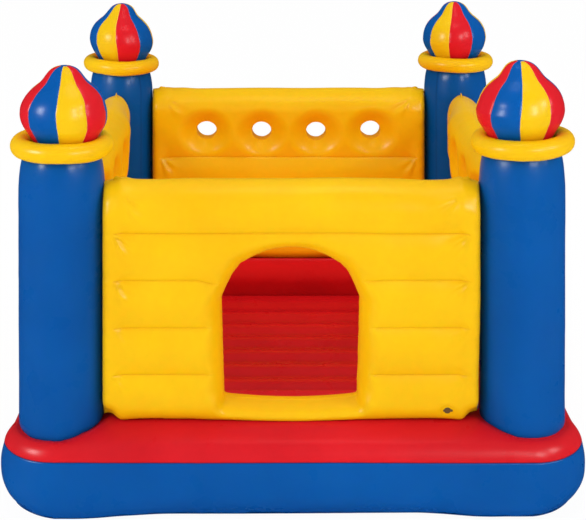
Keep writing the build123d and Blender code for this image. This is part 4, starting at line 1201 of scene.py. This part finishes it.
# white seen directly, an even tent for the colours, nearly black in the gloss
# so that only the softboxes make highlights
path = wn.nodes.new("ShaderNodeLightPath")
level = wn.nodes.new("ShaderNodeMix")
level.data_type = "FLOAT"
level.inputs["A"].default_value = 0.80
level.inputs["B"].default_value = 1.0
wn.links.new(path.outputs["Is Camera Ray"], level.inputs["Factor"])
gloss = wn.nodes.new("ShaderNodeMix")
gloss.data_type = "FLOAT"
gloss.inputs["B"].default_value = 0.03
wn.links.new(path.outputs["Is Glossy Ray"], gloss.inputs["Factor"])
wn.links.new(level.outputs["Result"], gloss.inputs["A"])
wn.links.new(gloss.outputs["Result"], bg.inputs["Strength"])
world.cycles.sampling_method = "NONE"


def area_light(name, loc, target, size, power, size_y=None, colour=(1, 1, 1)):
    d = bpy.data.lights.new(name, "AREA")
    d.shape = "RECTANGLE"
    d.size = size
    d.size_y = size_y or size
    d.energy = power
    d.color = colour
    o = bpy.data.objects.new(name, d)
    bpy.context.scene.collection.objects.link(o)
    o.location = loc
    o.rotation_euler = (Vector(target) - Vector(loc)).to_track_quat("-Z", "Y").to_euler()
    return o


area_light("softbox_left", (-3.2, -3.6, 3.4), (0, 0, 0.6), 1.0, 46, 1.0).visible_glossy = False
area_light("softbox_right", (3.6, -2.8, 3.0), (0, 0, 0.6), 0.9, 34, 1.1).visible_glossy = False
area_light("overhead", (0.2, 0.4, 4.2), (0, 0, 0.3), 3.0, 15).visible_glossy = False
# highlights only: the glints of the softboxes on the vinyl
for name_, loc_, size_, power_ in (("glint_left", (-3.6, -2.8, 2.4), 1.3, 320), ("glint_right", (3.6, -2.6, 2.7), 1.2, 130),
                                   ("glint_front", (2.1, -3.9, 2.3), 0.9, 150), ("glint_top", (0.3, -0.6, 4.4), 1.4, 30)):
    g_ = area_light(name_, loc_, (0, 0, 0.6), size_, power_)
    g_.visible_diffuse = False
    g_.visible_camera = False
# light that comes through the thin yellow walls and off the floor
f_ = area_light("inside_glow", (0.0, 0.05, 0.165), (0.0, 0.05, 2.0), 0.95, 2.6, 0.95, (1.0, 0.66, 0.42))
f_.visible_glossy = False
f_.visible_camera = False

cam_data = bpy.data.cameras.new("camera")
cam = bpy.data.objects.new("camera", cam_data)
bpy.context.scene.collection.objects.link(cam)
cam_data.sensor_width = 36.0
cam_data.lens = 1214.5 / 586 * 36.0
cam_data.clip_start, cam_data.clip_end = 0.05, 60
cam.location = (-0.037, -4.353, 1.974)
cam.rotation_euler = (math.radians(90), 0, 0)
# level camera with a shifted lens; the shift only holds at the main viewpoint
for prop, value in (("shift_x", -(279.5 - 293.0) / 586), ("shift_y", (-162 - 260.0) / 586)):
    fc = cam_data.driver_add(prop)
    drv = fc.driver
    drv.type = "SCRIPTED"
    for axis in ("y", "z"):
        var = drv.variables.new()
        var.name = axis
        var.type = "TRANSFORMS"
        var.targets[0].id = cam
        var.targets[0].transform_type = "LOC_" + axis.upper()
        var.targets[0].transform_space = "WORLD_SPACE"
    drv.expression = f"{value:.6f} if abs(z-1.974)<0.001 and abs(y+4.353)<0.001 else 0"
bpy.context.scene.camera = cam
bpy.context.scene.view_settings.view_transform = "Standard"
bpy.context.scene.view_settings.look = "None"

bpy.context.view_layer.update()
